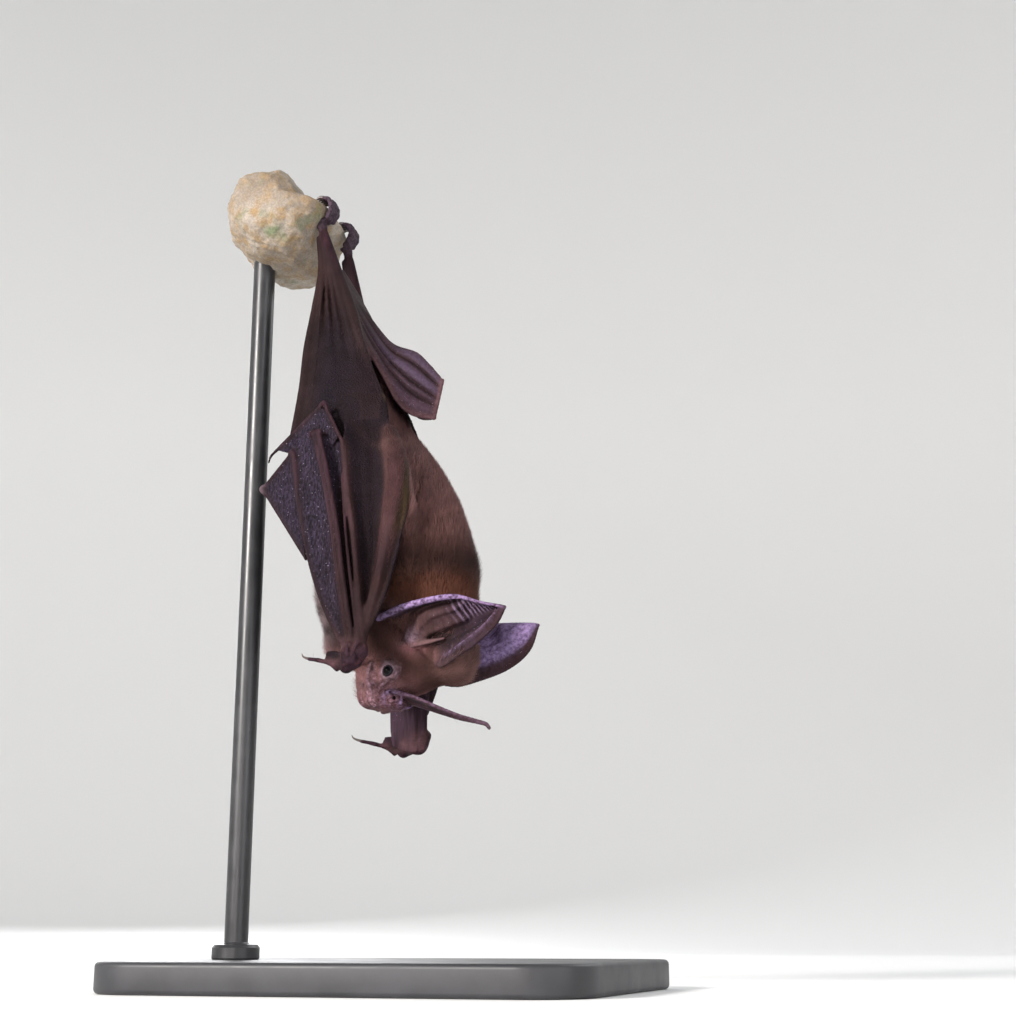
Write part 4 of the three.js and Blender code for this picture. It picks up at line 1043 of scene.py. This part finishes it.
    # painted shade in the gap where the wing's skin meets the coat
    seam_shade = look.tone(streaks, (0.016, 0.009, 0.006), (0.062, 0.040, 0.019))
    colour = coat_colour(look)
    colour = look.tone(fine, look.tint(colour, (0.55, 0.5, 0.5)), colour)
    for name, shade in (("face", face), ("fold", look.mix(0.3, face, lid)), ("lid", lid),
                        ("tragus", look.mix(fine, (0.085, 0.042, 0.044), (0.17, 0.10, 0.105))),
                        ("ear", ear), ("rim", rim), ("band", band), ("leaf", leaf),
                        ("leaf_edge", look.mix(0.28, leaf, rim)), ("leg", leg), ("foot", foot),
                        ("arm", arm), ("hand", hand), ("bone", bone), ("web", web), ("fan", fan),
                        ("hem", hem)):
        colour = look.mix(kind[name], colour, shade)
    colour = look.mix(mark("seam_shade"), colour, seam_shade)
    # painted shade: the skin is darkened where other flesh lies close outside it, in hollows and between
    # parts
    hollow = mark("hollow")
    colour = look.mix(look.times(hollow, 0.75), colour, (0.010, 0.004, 0.004))
    colour = look.mix(mark("eye_rim"), colour, (0.010, 0.005, 0.006))
    # painted highlight: glint dots on the hand web, the rims, the ears and the fan
    colour = look.mix(look.times(glint_dots, mark("gloss_and_glint_zone")), colour, painted_glint_colour)

    bare = look.math("ADD", kind["ear"], look.math("ADD", kind["fan"], kind["rim"]))
    bare = look.math("ADD", kind["web"], bare, True)
    rough = look.blend(bare, 0.75, look.spread(fine, 0.3, 0.7, 0.66, 0.82))
    rough = look.blend(look.times(glint_dots, mark("gloss_and_glint_zone")), rough, 0.2)
    height = look.times(pebble, mark("pebble"))
    normal = look.bump(height, 1.0, 0.00014)
    skin_grain = look.spread(look.cells(1700, "SMOOTH_F1", 1.0, smoothness=0.5), 0.1, 0.6, 1.0, 0.0)
    soft_skin = look.math("ADD", kind["face"], look.math("ADD", kind["fold"], kind["lid"]), True)
    skin_grain = look.times(skin_grain, soft_skin)
    normal = look.bump(skin_grain, 0.7, 0.00012, normal)
    folds = look.times(wrinkle, look.math("ADD", kind["face"], kind["fold"], True))
    normal = look.bump(look.times(folds, -1.0), 0.8, 0.00016, normal)
    normal = look.bump(look.times(look.times(lines, kind["hand"]), -1.0), 0.8, 0.0003, normal)
    normal = look.bump(streaks, 0.35, 0.00012, normal)
    normal = look.bump(fine, 0.4, 0.00006, normal)
    look.set(Base_Color=colour, Roughness=rough, Normal=normal, Specular_IOR_Level=0.1,
             Subsurface_Weight=0.06, Subsurface_Radius=(0.0012, 0.0005, 0.0003), Subsurface_Scale=0.6)
    return look.material


def coat_look():
    look = Look("bat_coat")
    mark = look.attribute
    colour = coat_colour(look)
    length, chance = mark("length"), mark("chance")
    colour = look.mix(mark("arm_hair"), colour, (0.085, 0.040, 0.040))
    colour = look.mix(look.times(mark("fringe"), look.spread(chance, 0.35, 0.75, 0.1, 0.7)),
                      colour, (0.13, 0.105, 0.11))
    # painted shade: darker towards the root and paler at the tip, for the shade deep in the coat
    colour = look.mix(length, look.tint(colour, (0.42, 0.40, 0.40)), look.tint(colour, (1.35, 1.3, 1.3)))
    colour = look.mix(chance, look.tint(colour, (0.72, 0.72, 0.72)), look.tint(colour, (1.25, 1.22, 1.22)))
    strands = look.math("ADD", look.times(mark("across"), 2.5), look.times(chance, 13.0))
    strands = look.math("ADD", look.times(look.math("SINE", look.times(strands, 6.28)), 0.5), 0.5)
    colour = look.mix(look.spread(strands, 0.3, 0.7, 0.0, 0.4), colour, look.tint(colour, (1.5, 1.5, 1.5)))
    look.set(Base_Color=colour, Roughness=look.spread(chance, 0, 1, 0.5, 0.7),
             Normal=look.bump(strands, 0.3, 0.00005), Specular_IOR_Level=0.12)
    return look.material


def eye_look(centre, axis):
    """Black in the middle, a grey ring round it and a dark edge, laid out about the eye's own axis."""
    look = Look("bat_eye")
    made = look.node("VectorMath", operation="SUBTRACT")
    look.put(made.inputs[0], look.coords)
    made.inputs[1].default_value = centre * MM
    across = look.node("VectorMath", operation="CROSS_PRODUCT")
    look.put(across.inputs[0], made.outputs[0])
    across.inputs[1].default_value = axis
    size = look.node("VectorMath", operation="LENGTH")
    look.put(size.inputs[0], across.outputs[0])
    place = look.math("DIVIDE", size.outputs["Value"], EYE_RADIUS * MM)
    place = look.math("ADD", place, look.times(look.math("SUBTRACT", look.noise(900, 2), 0.5), 0.06))
    ring = look.spread(place, 0.56, 0.64)
    edge = look.spread(place, 0.76, 0.84)
    grey = look.mix(look.noise(2500, 3), (0.009, 0.008, 0.010), (0.036, 0.032, 0.042))
    colour = look.mix(ring, (0.002, 0.0015, 0.0015), grey)
    look.set(Base_Color=look.mix(edge, colour, (0.006, 0.004, 0.005)), Roughness=0.3, Specular_IOR_Level=0.02,
             Coat_Weight=0.14, Coat_Roughness=0.03)
    return look.material


def claw_look():
    look = Look("bat_claw")
    grain = look.noise(1800, 3, vector=look.stretched((1, 1, 0.3)))
    look.set(Base_Color=look.mix(grain, (0.028, 0.019, 0.017), (0.13, 0.10, 0.09)),
             Roughness=look.spread(grain, 0, 1, 0.25, 0.45),
             Normal=look.bump(grain, 0.2, 0.00004))
    return look.material


def rock_look():
    look = Look("perch_rock")
    broad, fine, grit = look.noise(60, 6), look.noise(420, 6), look.noise(2200, 4)
    colour = look.tone(broad, (0.20, 0.155, 0.115), (0.42, 0.37, 0.31), 0.35, 0.65)
    colour = look.tone(fine, colour, (0.30, 0.20, 0.10), 0.45, 0.7)
    colour = look.tone(look.noise(140, 4), colour, (0.16, 0.18, 0.10), 0.56, 0.7)
    colour = look.tone(grit, look.tint(colour, (0.7, 0.7, 0.7)), colour, 0.35, 0.65)
    normal = look.bump(fine, 0.7, 0.0006)
    normal = look.bump(grit, 0.6, 0.00015, normal)
    look.set(Base_Color=colour, Roughness=look.spread(fine, 0.2, 0.8, 0.75, 0.95), Normal=normal)
    return look.material


def stand_look(name, colour, low, high, scale):
    look = Look(name)
    grain, wear = look.noise(scale, 4), look.noise(scale * 0.06, 4)
    shade = look.tone(wear, colour, tuple(1.5 * c for c in colour), 0.4, 0.7)
    look.set(Base_Color=shade, Roughness=look.spread(wear, 0.3, 0.7, low, high),
             Normal=look.bump(grain, 0.25, 0.00003))
    return look.material


# ---------------------------------------------------------------- the skin object
weights = kind_weights(points)
marks = markings(points)
normals = slope(points)
inside = sample(ORIGIN, flesh, points + 1.2 * normals, BAND)
x, y, z = points.T
outward = np.abs(y)
wing_z = z + np.where(y > 0, LEFT_WING["drop"], 0)
flap = weights["web"] * smooth(12, 15, outward)
folded_tip = smooth(15.3, 15.9, outward) * smooth(-6, -8, x) * smooth(124, 122, wing_z)
hand_web = smooth(116, 110, wing_z) * smooth(-4.5, -8, x)
# the hand web's flat faces, which get a painted sheen
marks["facet_sheen"] = flap * np.maximum(hand_web, folded_tip) * smooth(66, 71, wing_z)
marks["pebble"] = weights["web"] * smooth(148, 138, z) * smooth(58, 66, z) * (1 - 0.85 * marks["facet_sheen"])
marks["pebble"] = marks["pebble"] * (0.35 + 0.65 * smooth(-19, -14, x)) + 0.1 * weights["ear"]
marks["seam_shade"] = seam_mark(points) * np.clip(weights["body"] + weights["web"] + weights["arm"], 0, 1)
marks["low_arm"] = smooth(94, 80, wing_z)
marks["arm_end"] = smooth(104, 113, wing_z)
knuckles = [on_side(-1, FINGER_3_KNUCKLE), on_side(1, FINGER_3_KNUCKLE, **LEFT_WING)]
from_knuckle = np.min([np.linalg.norm(points - k, axis=1) for k in knuckles], axis=0)
marks["knuckle"] = smooth(1.9, 0.8, from_knuckle) * weights["bone"]
marks["palm"] = smooth(66, 61, z) * weights["web"] * (y > 0)
marks["thigh"] = smooth(158, 148, z)
free_margin = smooth(-13, -19, x) * smooth(112, 120, z) * smooth(15.4, 14.8, outward)
marks["brown_web"] = weights["web"] * np.clip(0.85 * smooth(138, 152, z) + 0.55 * free_margin, 0, 1)
# where glints are painted into the colour and the skin is glossier
marks["gloss_and_glint_zone"] = np.clip(0.9 * marks["facet_sheen"] + weights["rim"] + 0.5 * weights["ear"] + 0.5 * weights["fan"],
                       0, 1)
from_eye = np.min([np.linalg.norm(points - c, axis=1) for c in eye_centres.values()], axis=0)
marks["eye_rim"] = smooth(EYE_RADIUS + 0.2, EYE_RADIUS + 0.08, from_eye)
# painted shade in hollows: how close other flesh lies just outside each point
marks["hollow"] = np.clip(1.15 - inside / 1.1, 0, 1)
marks |= {key: np.zeros(len(points)) for key in ("ear_u", "ear_v", "ear_near")}
for word in SIDES:
    surface, _ = ear_sheet(word)
    u_grid, v_grid, _ = ear_grid(EARS[word])
    laid = lay_on(points, surface[::2, ::2], u_grid[::2, ::2], v_grid[::2, ::2])
    nearer = laid[2] > marks["ear_near"]
    for key, value in zip(("ear_u", "ear_v", "ear_near"), laid):
        marks[key] = np.where(nearer, value, marks[key])
u_ear, v_ear, on_ear = (marks[key] for key in ("ear_u", "ear_v", "ear_near"))
marks["lobe_end"] = on_ear * bell(u_ear, 0.44, 0.10) * bell(v_ear, 0.06, 0.09)
marks["ear_pink"] = on_ear * bell(u_ear, 0.79, 0.12) * bell(v_ear, 0.04, 0.10)
# painted shade: where the ear's grooves lie
marks["ear_groove_shade"] = on_ear * (bell(u_ear, 0.12, 0.045) * smooth(0.5, 0.35, v_ear)
                                + bell(u_ear, 0.835, 0.025) * smooth(0.15, 0.3, v_ear))
# painted light: the part of the far ear that is coloured pale lilac
marks["far_ear_painted_light"] = on_ear * smooth(0, 2, y) * smooth(0.2, 0.4, v_ear) * smooth(0.92, 0.84, u_ear)
marks["fan_down"], marks["fan_along"], _ = lay_on(points, fan[::2, ::2], down[::2, ::2], v_fan[::2, ::2])
skin = make_mesh("bat_skin", points, quads, {**weights, **marks})
flesh_nodes = [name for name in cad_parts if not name.startswith(("stand_", "eye_"))]
settle(skin, skin_look(), "wing_skin", *flesh_nodes)

# ---------------------------------------------------------------- eyes and claws
for word, centre in eye_centres.items():
    bpy.ops.mesh.primitive_uv_sphere_add(segments=48, ring_count=32, radius=EYE_RADIUS * MM)
    eye = bpy.context.object
    eye.name = f"eyeball_{word}"
    eye.data.transform(Vector((0, 0, 1)).rotation_difference(Vector(eye_axes[word])).to_matrix().to_4x4())
    placed = np.array([v.co for v in eye.data.vertices]) + centre * MM
    eye.data.vertices.foreach_set("co", placed.astype(np.float32).ravel())
    eye.data.polygons.foreach_set("use_smooth", np.full(len(eye.data.polygons), True))
    settle(eye, eye_look(centre, eye_axes[word]), "eye", f"eye_{word}")

claw_material = claw_look()
for name, wide in (("feet", [0.42, 0.38, 0.26, 0.07]), ("thumbs", [0.32, 0.28, 0.18, 0.05])):
    meshes = [limb(path, wide, rings=14, sides=10, caps=3) for path in claws[name]]
    offsets = np.cumsum([0] + [len(m[0]) for m in meshes[:-1]])
    claw = make_mesh(f"claws_{name}", np.vstack([m[0] for m in meshes]),
                     np.vstack([m[1] + o for m, o in zip(meshes, offsets)]))
    settle(claw, claw_material, "arm_skin")


# ---------------------------------------------------------------- the coat
def flow(points, normals):
    """The lie of the coat: from the nose back over the head, and from the neck up to the rump."""
    r, _, d = head_place(points).T
    on_head = smooth(-7, -1, r)[:, None]
    back = -HEAD_AXES[:, 0] + 0.25 * np.sign(d)[:, None] * HEAD_AXES[:, 2] * smooth(5, 9, r)[:, None]
    sway = [0.2 * ripple(points, 14, 5), 0.2 * ripple(points, 12, 6), np.zeros(len(points))]
    up = np.array([0.06, 0, 1.0]) + np.stack(sway, 1)
    way = unit(back) * on_head + up * (1 - on_head)
    return unit(way - (way * normals).sum(1, keepdims=True) * normals)


TUFTS = {"body": 32, "more on head": 48, "face": 15, "arm": 22, "ear": 6}  # for each square mm
triangles = np.vstack([quads[:, [0, 1, 2]], quads[:, [0, 2, 3]]])
corner = points[triangles]
centre = corner.mean(1)
area = np.linalg.norm(np.cross(corner[:, 1] - corner[:, 0], corner[:, 2] - corner[:, 0]), axis=1) / 2
over = lambda values: values[triangles].mean(1)
body, face, arm = over(weights["body"]), over(weights["face"]) + over(weights["fold"]), over(weights["arm"])
r, _, d = head_place(centre).T
cx, cy, cz = centre.T
furry = smooth(0.35, 0.6, body)
on_face = smooth(4, 8, r - 0.1 * np.maximum(d, 0)) * np.clip(body + face, 0, 1)
density = furry * (TUFTS["body"] + TUFTS["more on head"] * smooth(-6, 2, r)) * (1 - on_face)
density += TUFTS["face"] * on_face * (r < 12.5)
arm_z = cz + np.where(cy > 0, LEFT_WING["drop"], 0)
density += TUFTS["arm"] * smooth(0.6, 0.85, arm) * smooth(80, 94, arm_z) * (1 - 0.8 * smooth(106, 113, arm_z))
in_ear = over(marks["ear_near"]) * over(weights["ear"])
ear_hair = in_ear * (cy < 0) * smooth(0.42, 0.25, over(marks["ear_v"]))
ear_hair = ear_hair * smooth(0.58, 0.7, over(marks["ear_u"]))
density += TUFTS["ear"] * ear_hair
for c in eye_centres.values():
    density *= smooth(1.7, 2.4, np.linalg.norm(centre - c, axis=1))
for side in SIDES.values():
    for hole in ([9.9, side * 2.1, 2.7], [9.2, side * 3.4, 1.9]):  # nostril and the pit beside it
        density *= smooth(0.8, 1.4, np.linalg.norm(centre - in_head(hole), axis=1))
density *= 1 - 0.9 * over(marks["seam_shade"])
density *= 1.0
share = area * density
total = int(share.sum())
order = np.lexsort((cx, cy // 0.7, cz // 0.7))
edges = np.cumsum(share[order])
drawn = (np.arange(total) + rng.uniform(0, 1, total)) / total * edges[-1]
pick = order[np.searchsorted(edges, drawn).clip(0, len(order) - 1)]
a, b = rng.uniform(size=(2, total))
flip = a + b > 1
a[flip], b[flip] = 1 - a[flip], 1 - b[flip]
tri = corner[pick]
roots = tri[:, 0] + a[:, None] * (tri[:, 1] - tri[:, 0]) + b[:, None] * (tri[:, 2] - tri[:, 0])
out = slope(roots)
lie = flow(roots, out)
ear_root = np.clip(ear_hair[pick], 0, 1)
lie = unit(lie * (1 - ear_root)[:, None] + np.array([1, 0, -0.1]) * ear_root[:, None])
arm_root = smooth(0.35, 0.65, arm[pick])
face_root = on_face[pick]
marks_root = markings(roots)
rr, rl, rd = head_place(roots).T
length = 2.7 - 0.6 * smooth(110, 130, roots[:, 2]) + 0.5 * marks_root["crease"] + 0.5 * marks_root["crown"]
length *= 1 - 0.55 * smooth(-5, 3, rr) * (1 - 0.7 * marks_root["crown"])
length = length * (1 - face_root) + (0.5 + 0.35 * smooth(-3, -6, rd)) * face_root
length = length * (1 - arm_root) + 1.0 * arm_root
length = length * (1 - ear_root) + 0.55 * ear_root
fringe = smooth(-12.5, -15.5, roots[:, 0]) * smooth(92, 84, roots[:, 2])
chin = smooth(-4.2, -6, rd) * smooth(8, 10, rr) * (rng.uniform(size=total) > 0.55)
length = (length + 0.7 * fringe + 0.8 * chin) * rng.uniform(0.7, 1.25, total)
lift = np.radians(13 + 14 * marks_root["crease"] + 10 * marks_root["crown"] + 6 * marks_root["neck"]
                  + 12 * face_root + 8 * marks_root["belly"] + 22 * fringe + 25 * chin
                  + rng.uniform(-6, 9, total))
lift = lift * (1 - ear_root) + np.radians(5) * ear_root
wide = (0.105 - 0.05 * smooth(-5, 3, rr)) * (1 - face_root) + 0.035 * face_root
wide = wide * (1 - 0.45 * arm_root) * (1 - 0.3 * ear_root) * rng.uniform(0.7, 1.3, total)
swirl = rng.normal(0, 0.16, total) + 0.25 * ripple(roots, 5, 11)
side_way = np.cross(out, lie)
lie = unit(lie * np.cos(swirl)[:, None] + side_way * np.sin(swirl)[:, None])
side_way = np.cross(out, lie)
chance = np.clip(0.5 + 0.5 * ripple(roots, 3.0, 21) + rng.uniform(-0.45, 0.45, total), 0, 1)

ring = roots - 0.12 * out
tip = roots + length[:, None] * (lie * np.cos(lift)[:, None] + out * np.sin(lift)[:, None])
tuft_points = np.stack([ring + side_way * wide[:, None], ring - side_way * wide[:, None],
                        ring + out * (0.8 * wide)[:, None], tip], 1)
TUFT = np.array([[0, 2, 1], [0, 1, 3], [1, 2, 3], [2, 0, 3]])
TUFT_LENGTH = np.array([0, 0, 0, 1.0])
TUFT_ACROSS = np.array([0, 1.0, 0.5, 0.5])
PATCH = 0.003  # how wide a tuft is on the coat's unwrap
TUFT_UV = (np.array([[0, 0], [1, 0], [0.5, 0.1], [0.5, 1]]) - 0.5) * PATCH

coat_material = coat_look()


def coat_piece(name, chosen, around, high):
    """Joins the chosen tufts in one piece, laid out on an unwrap round the piece's own axis."""
    n = int(chosen.sum())
    faces = (TUFT[None] + 4 * np.arange(n)[:, None, None]).reshape(-1, 3)
    stretch = lambda v: np.repeat(v[chosen], 4)
    attributes = {key: stretch(value) for key, value in marks_root.items()}
    attributes |= {"chance": stretch(chance), "arm_hair": stretch(arm_root),
                   "length": np.tile(TUFT_LENGTH, n), "across": np.tile(TUFT_ACROSS, n),
                   "fringe": stretch(np.maximum(fringe, chin))}
    piece = make_mesh(name, tuft_points[chosen].reshape(-1, 3), faces, attributes)
    uv = np.stack([around[chosen], high[chosen]], 1)[:, None] * 0.98 + 0.01 + TUFT_UV
    layer = piece.data.uv_layers.new(name="OFBake")
    layer.data.foreach_set("uv", uv.reshape(-1, 2)[faces.ravel()].astype(np.float32).ravel())
    settle(piece, coat_material, "coat")


def unwrap(values, low, high):
    return np.clip((values - low) / (high - low), 0, 1)


turn_trunk = np.arctan2(roots[:, 1], roots[:, 0] + 2) / (2 * np.pi) + 0.5
turn_head = np.arctan2(rl, rd - 1) / (2 * np.pi) + 0.5
is_arm = arm_root > 0.5
is_head = ~is_arm & (rr > -6)
is_trunk = ~is_arm & ~is_head
for word, side in SIDES.items():
    hand_side = np.sign(roots[:, 1]) == side
    mine = is_arm & hand_side
    around = np.arctan2(roots[:, 1] - side * 14.5, roots[:, 0] - 3) / (2 * np.pi) + 0.5
    coat_piece(f"coat_arm_{word}", mine, around, unwrap(roots[:, 2], 50, 120))
    for part, low, high in (("rump", 103, 180), ("middle", 92, 103), ("shoulder", 82, 92), ("neck", 40, 82)):
        mine = is_trunk & hand_side & (roots[:, 2] >= low) & (roots[:, 2] < high)
        if mine.any():
            coat_piece(f"coat_{part}_{word}", mine, turn_trunk, unwrap(roots[:, 2], 60, 140))
    coat_piece(f"coat_head_{word}", is_head & hand_side, turn_head, unwrap(rr, -7, 14))

# ---------------------------------------------------------------- display stand
around = np.arange(len(ROCK_SIDE) + 1) / len(ROCK_SIDE)
middle = np.array([-13, -1])
closed = np.array(ROCK_SIDE + ROCK_SIDE[:1], float)
outline = np.array([np.interp(np.linspace(0, 1, 160, endpoint=False), around, closed[:, k])
                    for k in range(2)]).T
rings = []
for place in np.linspace(-1, 1, 90):
    offset = (outline - middle) * (1 - 0.45 * abs(place) ** 4)
    y = place * ROCK_HALF
    rings.append(np.stack([LEDGE["x"] + middle[0] + offset[:, 0], np.full(len(offset), y),
                           LEDGE["z"] + LEDGE["slope"] * (y + 4.5) + middle[1] + offset[:, 1]], 1))
rock_points, rock_faces = loft(np.stack(rings))
outwards = unit(rock_points - rock_points.mean(0))
near_ledge = bell(rock_points[:, 0], LEDGE["x"] - 1.5, 3.5) * smooth(170, 172, rock_points[:, 2])
rough = (0.55 * ripple(rock_points, 7, 31) + 0.35 * ripple(rock_points, 3.2, 32)
         + 0.2 * ripple(rock_points, 1.5, 33))
rock_points = rock_points + outwards * ((rough - 0.35) * (1 - 0.9 * near_ledge))[:, None]
meets_feet = 0.8 * bell(rock_points[:, 2], 171.6, 1.8) - smooth(169.6, 167.5, rock_points[:, 2])
rock_points[:, 0] += smooth(-23, -20.5, rock_points[:, 0]) * meets_feet
rock = make_mesh("perch_rock", rock_points, rock_faces)
settle(rock, rock_look(), "rock", "stand_perch")

rod_low, rod_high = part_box("stand_rod")
base_low, base_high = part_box("stand_base")
rod_centre, rod_radius = (rod_low + rod_high) / 2 / MM, (rod_high.x - rod_low.x) / 2 / MM
top = base_high.z / MM
profile = [(0.6, rod_low.z / MM), (rod_radius, rod_low.z / MM + 0.2), (rod_radius, top - 0.2),
           (4.6, top - 0.2), (5.0, top + 0.3), (5.0, top + 2.4), (4.5, top + 3.0),
           (rod_radius + 0.25, top + 3.2), (rod_radius, top + 3.5), (rod_radius, rod_high.z / MM - 0.3),
           (rod_radius - 0.3, rod_high.z / MM), (0.6, rod_high.z / MM)]
around = 2 * np.pi * np.arange(64) / 64
rings = [np.stack([rod_centre[0] + q * np.cos(around), rod_centre[1] + q * np.sin(around),
                   np.full(64, height)], 1) for q, height in profile]
rod = make_mesh("stand_rod_smooth", *loft(np.stack(rings)))
rod.data.set_sharp_from_angle(angle=math.radians(35))
settle(rod, stand_look("stand_metal", (0.020, 0.020, 0.022), 0.28, 0.42, 3000), "stand_rod", "stand_rod")


def plate_ring(inset, z, corner=12.0, steps=16):
    half = np.array([(base_high.x - base_low.x) / 2 / MM, (base_high.y - base_low.y) / 2 / MM]) - inset
    ring, radius = [], corner - inset
    for k, (sx, sy) in enumerate(((1, 1), (-1, 1), (-1, -1), (1, -1))):
        for angle in np.linspace(k * np.pi / 2, (k + 1) * np.pi / 2, steps):
            ring.append([sx * (half[0] - radius) + radius * math.cos(angle),
                         sy * (half[1] - radius) + radius * math.sin(angle), z])
    return ring


base_z = [base_low.z / MM, base_high.z / MM]
bevel = [(1.0 - math.sin(t), 1.0 - math.cos(t)) for t in np.linspace(0, np.pi / 2, 7)]
rings = [plate_ring(8, base_z[0])] + [plate_ring(inset, base_z[0] + drop) for inset, drop in bevel]
rings += [plate_ring(inset, base_z[1] - drop) for inset, drop in bevel[::-1]] + [plate_ring(8, base_z[1])]
plate = make_mesh("stand_plate", *loft(np.array(rings)))
plate.data.set_sharp_from_angle(angle=math.radians(35))
settle(plate, stand_look("stand_plate", (0.024, 0.024, 0.027), 0.4, 0.55, 2200), "stand_base", "stand_base")

# ---------------------------------------------------------------- room, light and camera
FLOOR_RADIUS, ROOM_RADIUS, ROOM_HEIGHT = 0.9, 1.5, 1.7
bend = np.linspace(0, np.pi / 2, 14)
profile = [(0.02, 0.0), (0.3, 0.0)] + [(FLOOR_RADIUS + (ROOM_RADIUS - FLOOR_RADIUS) * math.sin(t),
                                         (ROOM_RADIUS - FLOOR_RADIUS) * (1 - math.cos(t))) for t in bend]
profile.append((ROOM_RADIUS, ROOM_HEIGHT))
around = 2 * np.pi * np.arange(96) / 96
ring_points = np.vstack([np.stack([q * np.cos(around), q * np.sin(around), np.full(96, height - 0.00002)], 1)
                         for q, height in profile])
j = np.arange(96)
k = (j + 1) % 96
room_faces = np.vstack([np.stack([i * 96 + j, i * 96 + k, (i + 1) * 96 + k, (i + 1) * 96 + j], 1)
                        for i in range(len(profile) - 1)])
backdrop = make_mesh("backdrop", ring_points, room_faces, scale=1.0)
floor = make_mesh("floor_middle", np.vstack([np.zeros((1, 3)), ring_points[:96]]),
                  np.stack([np.zeros(96, int), 1 + j, 1 + k], 1), scale=1.0)
paper = Look("backdrop_paper")
grain = paper.noise(900, 3)
paper.set(Base_Color=paper.mix(grain, (0.80, 0.80, 0.79), (0.84, 0.84, 0.83)), Roughness=0.9,
          Normal=paper.bump(grain, 0.1, 0.0002))
for item in (backdrop, floor):
    item.data.materials.append(paper.material)

world = bpy.data.worlds.new("world")
bpy.context.scene.world = world
world.use_nodes = True
world.node_tree.nodes["Background"].inputs[0].default_value = (0.93, 0.95, 1.0, 1)
world.node_tree.nodes["Background"].inputs[1].default_value = 0.46

AIM = Vector((0.024, 0.0, 0.098))
camera_data = bpy.data.cameras.new("camera")
camera = bpy.data.objects.new("camera", camera_data)
bpy.context.scene.collection.objects.link(camera)
camera_data.lens, camera_data.sensor_width = 56.12, 36
camera_data.clip_start, camera_data.clip_end = 0.01, 20
azimuth, elevation, away = math.radians(18), math.radians(-15), 0.34
flat = math.cos(elevation)
back = Vector((math.sin(azimuth) * flat, -math.cos(azimuth) * flat, math.sin(elevation)))
camera.location = AIM + away * back
camera.rotation_euler = (-back).to_track_quat("-Z", "Y").to_euler()
bpy.context.scene.camera = camera


def area_light(name, place, size, power, colour=(1, 1, 1)):
    data = bpy.data.lights.new(name, "AREA")
    data.shape, data.size, data.energy, data.color = "DISK", size, power, colour
    light = bpy.data.objects.new(name, data)
    bpy.context.scene.collection.objects.link(light)
    light.location = place
    light.rotation_euler = (AIM - Vector(place)).to_track_quat("-Z", "Y").to_euler()


area_light("key", (-0.38, -0.75, 0.36), 0.2, 12.0, (1.0, 0.96, 0.93))
area_light("fill", (0.75, -0.45, 0.30), 0.5, 2.2, (0.96, 0.96, 1.0))
area_light("back", (0.45, 0.75, 0.75), 0.45, 2.6, (0.95, 0.97, 1.0))
area_light("far side", (-0.55, 0.8, 0.35), 0.5, 3.5, (0.97, 0.98, 1.0))
area_light("low", (0.05, -0.5, 0.03), 0.2, 0.6, (1.0, 0.93, 0.9))

bpy.context.scene.view_settings.view_transform = "Standard"
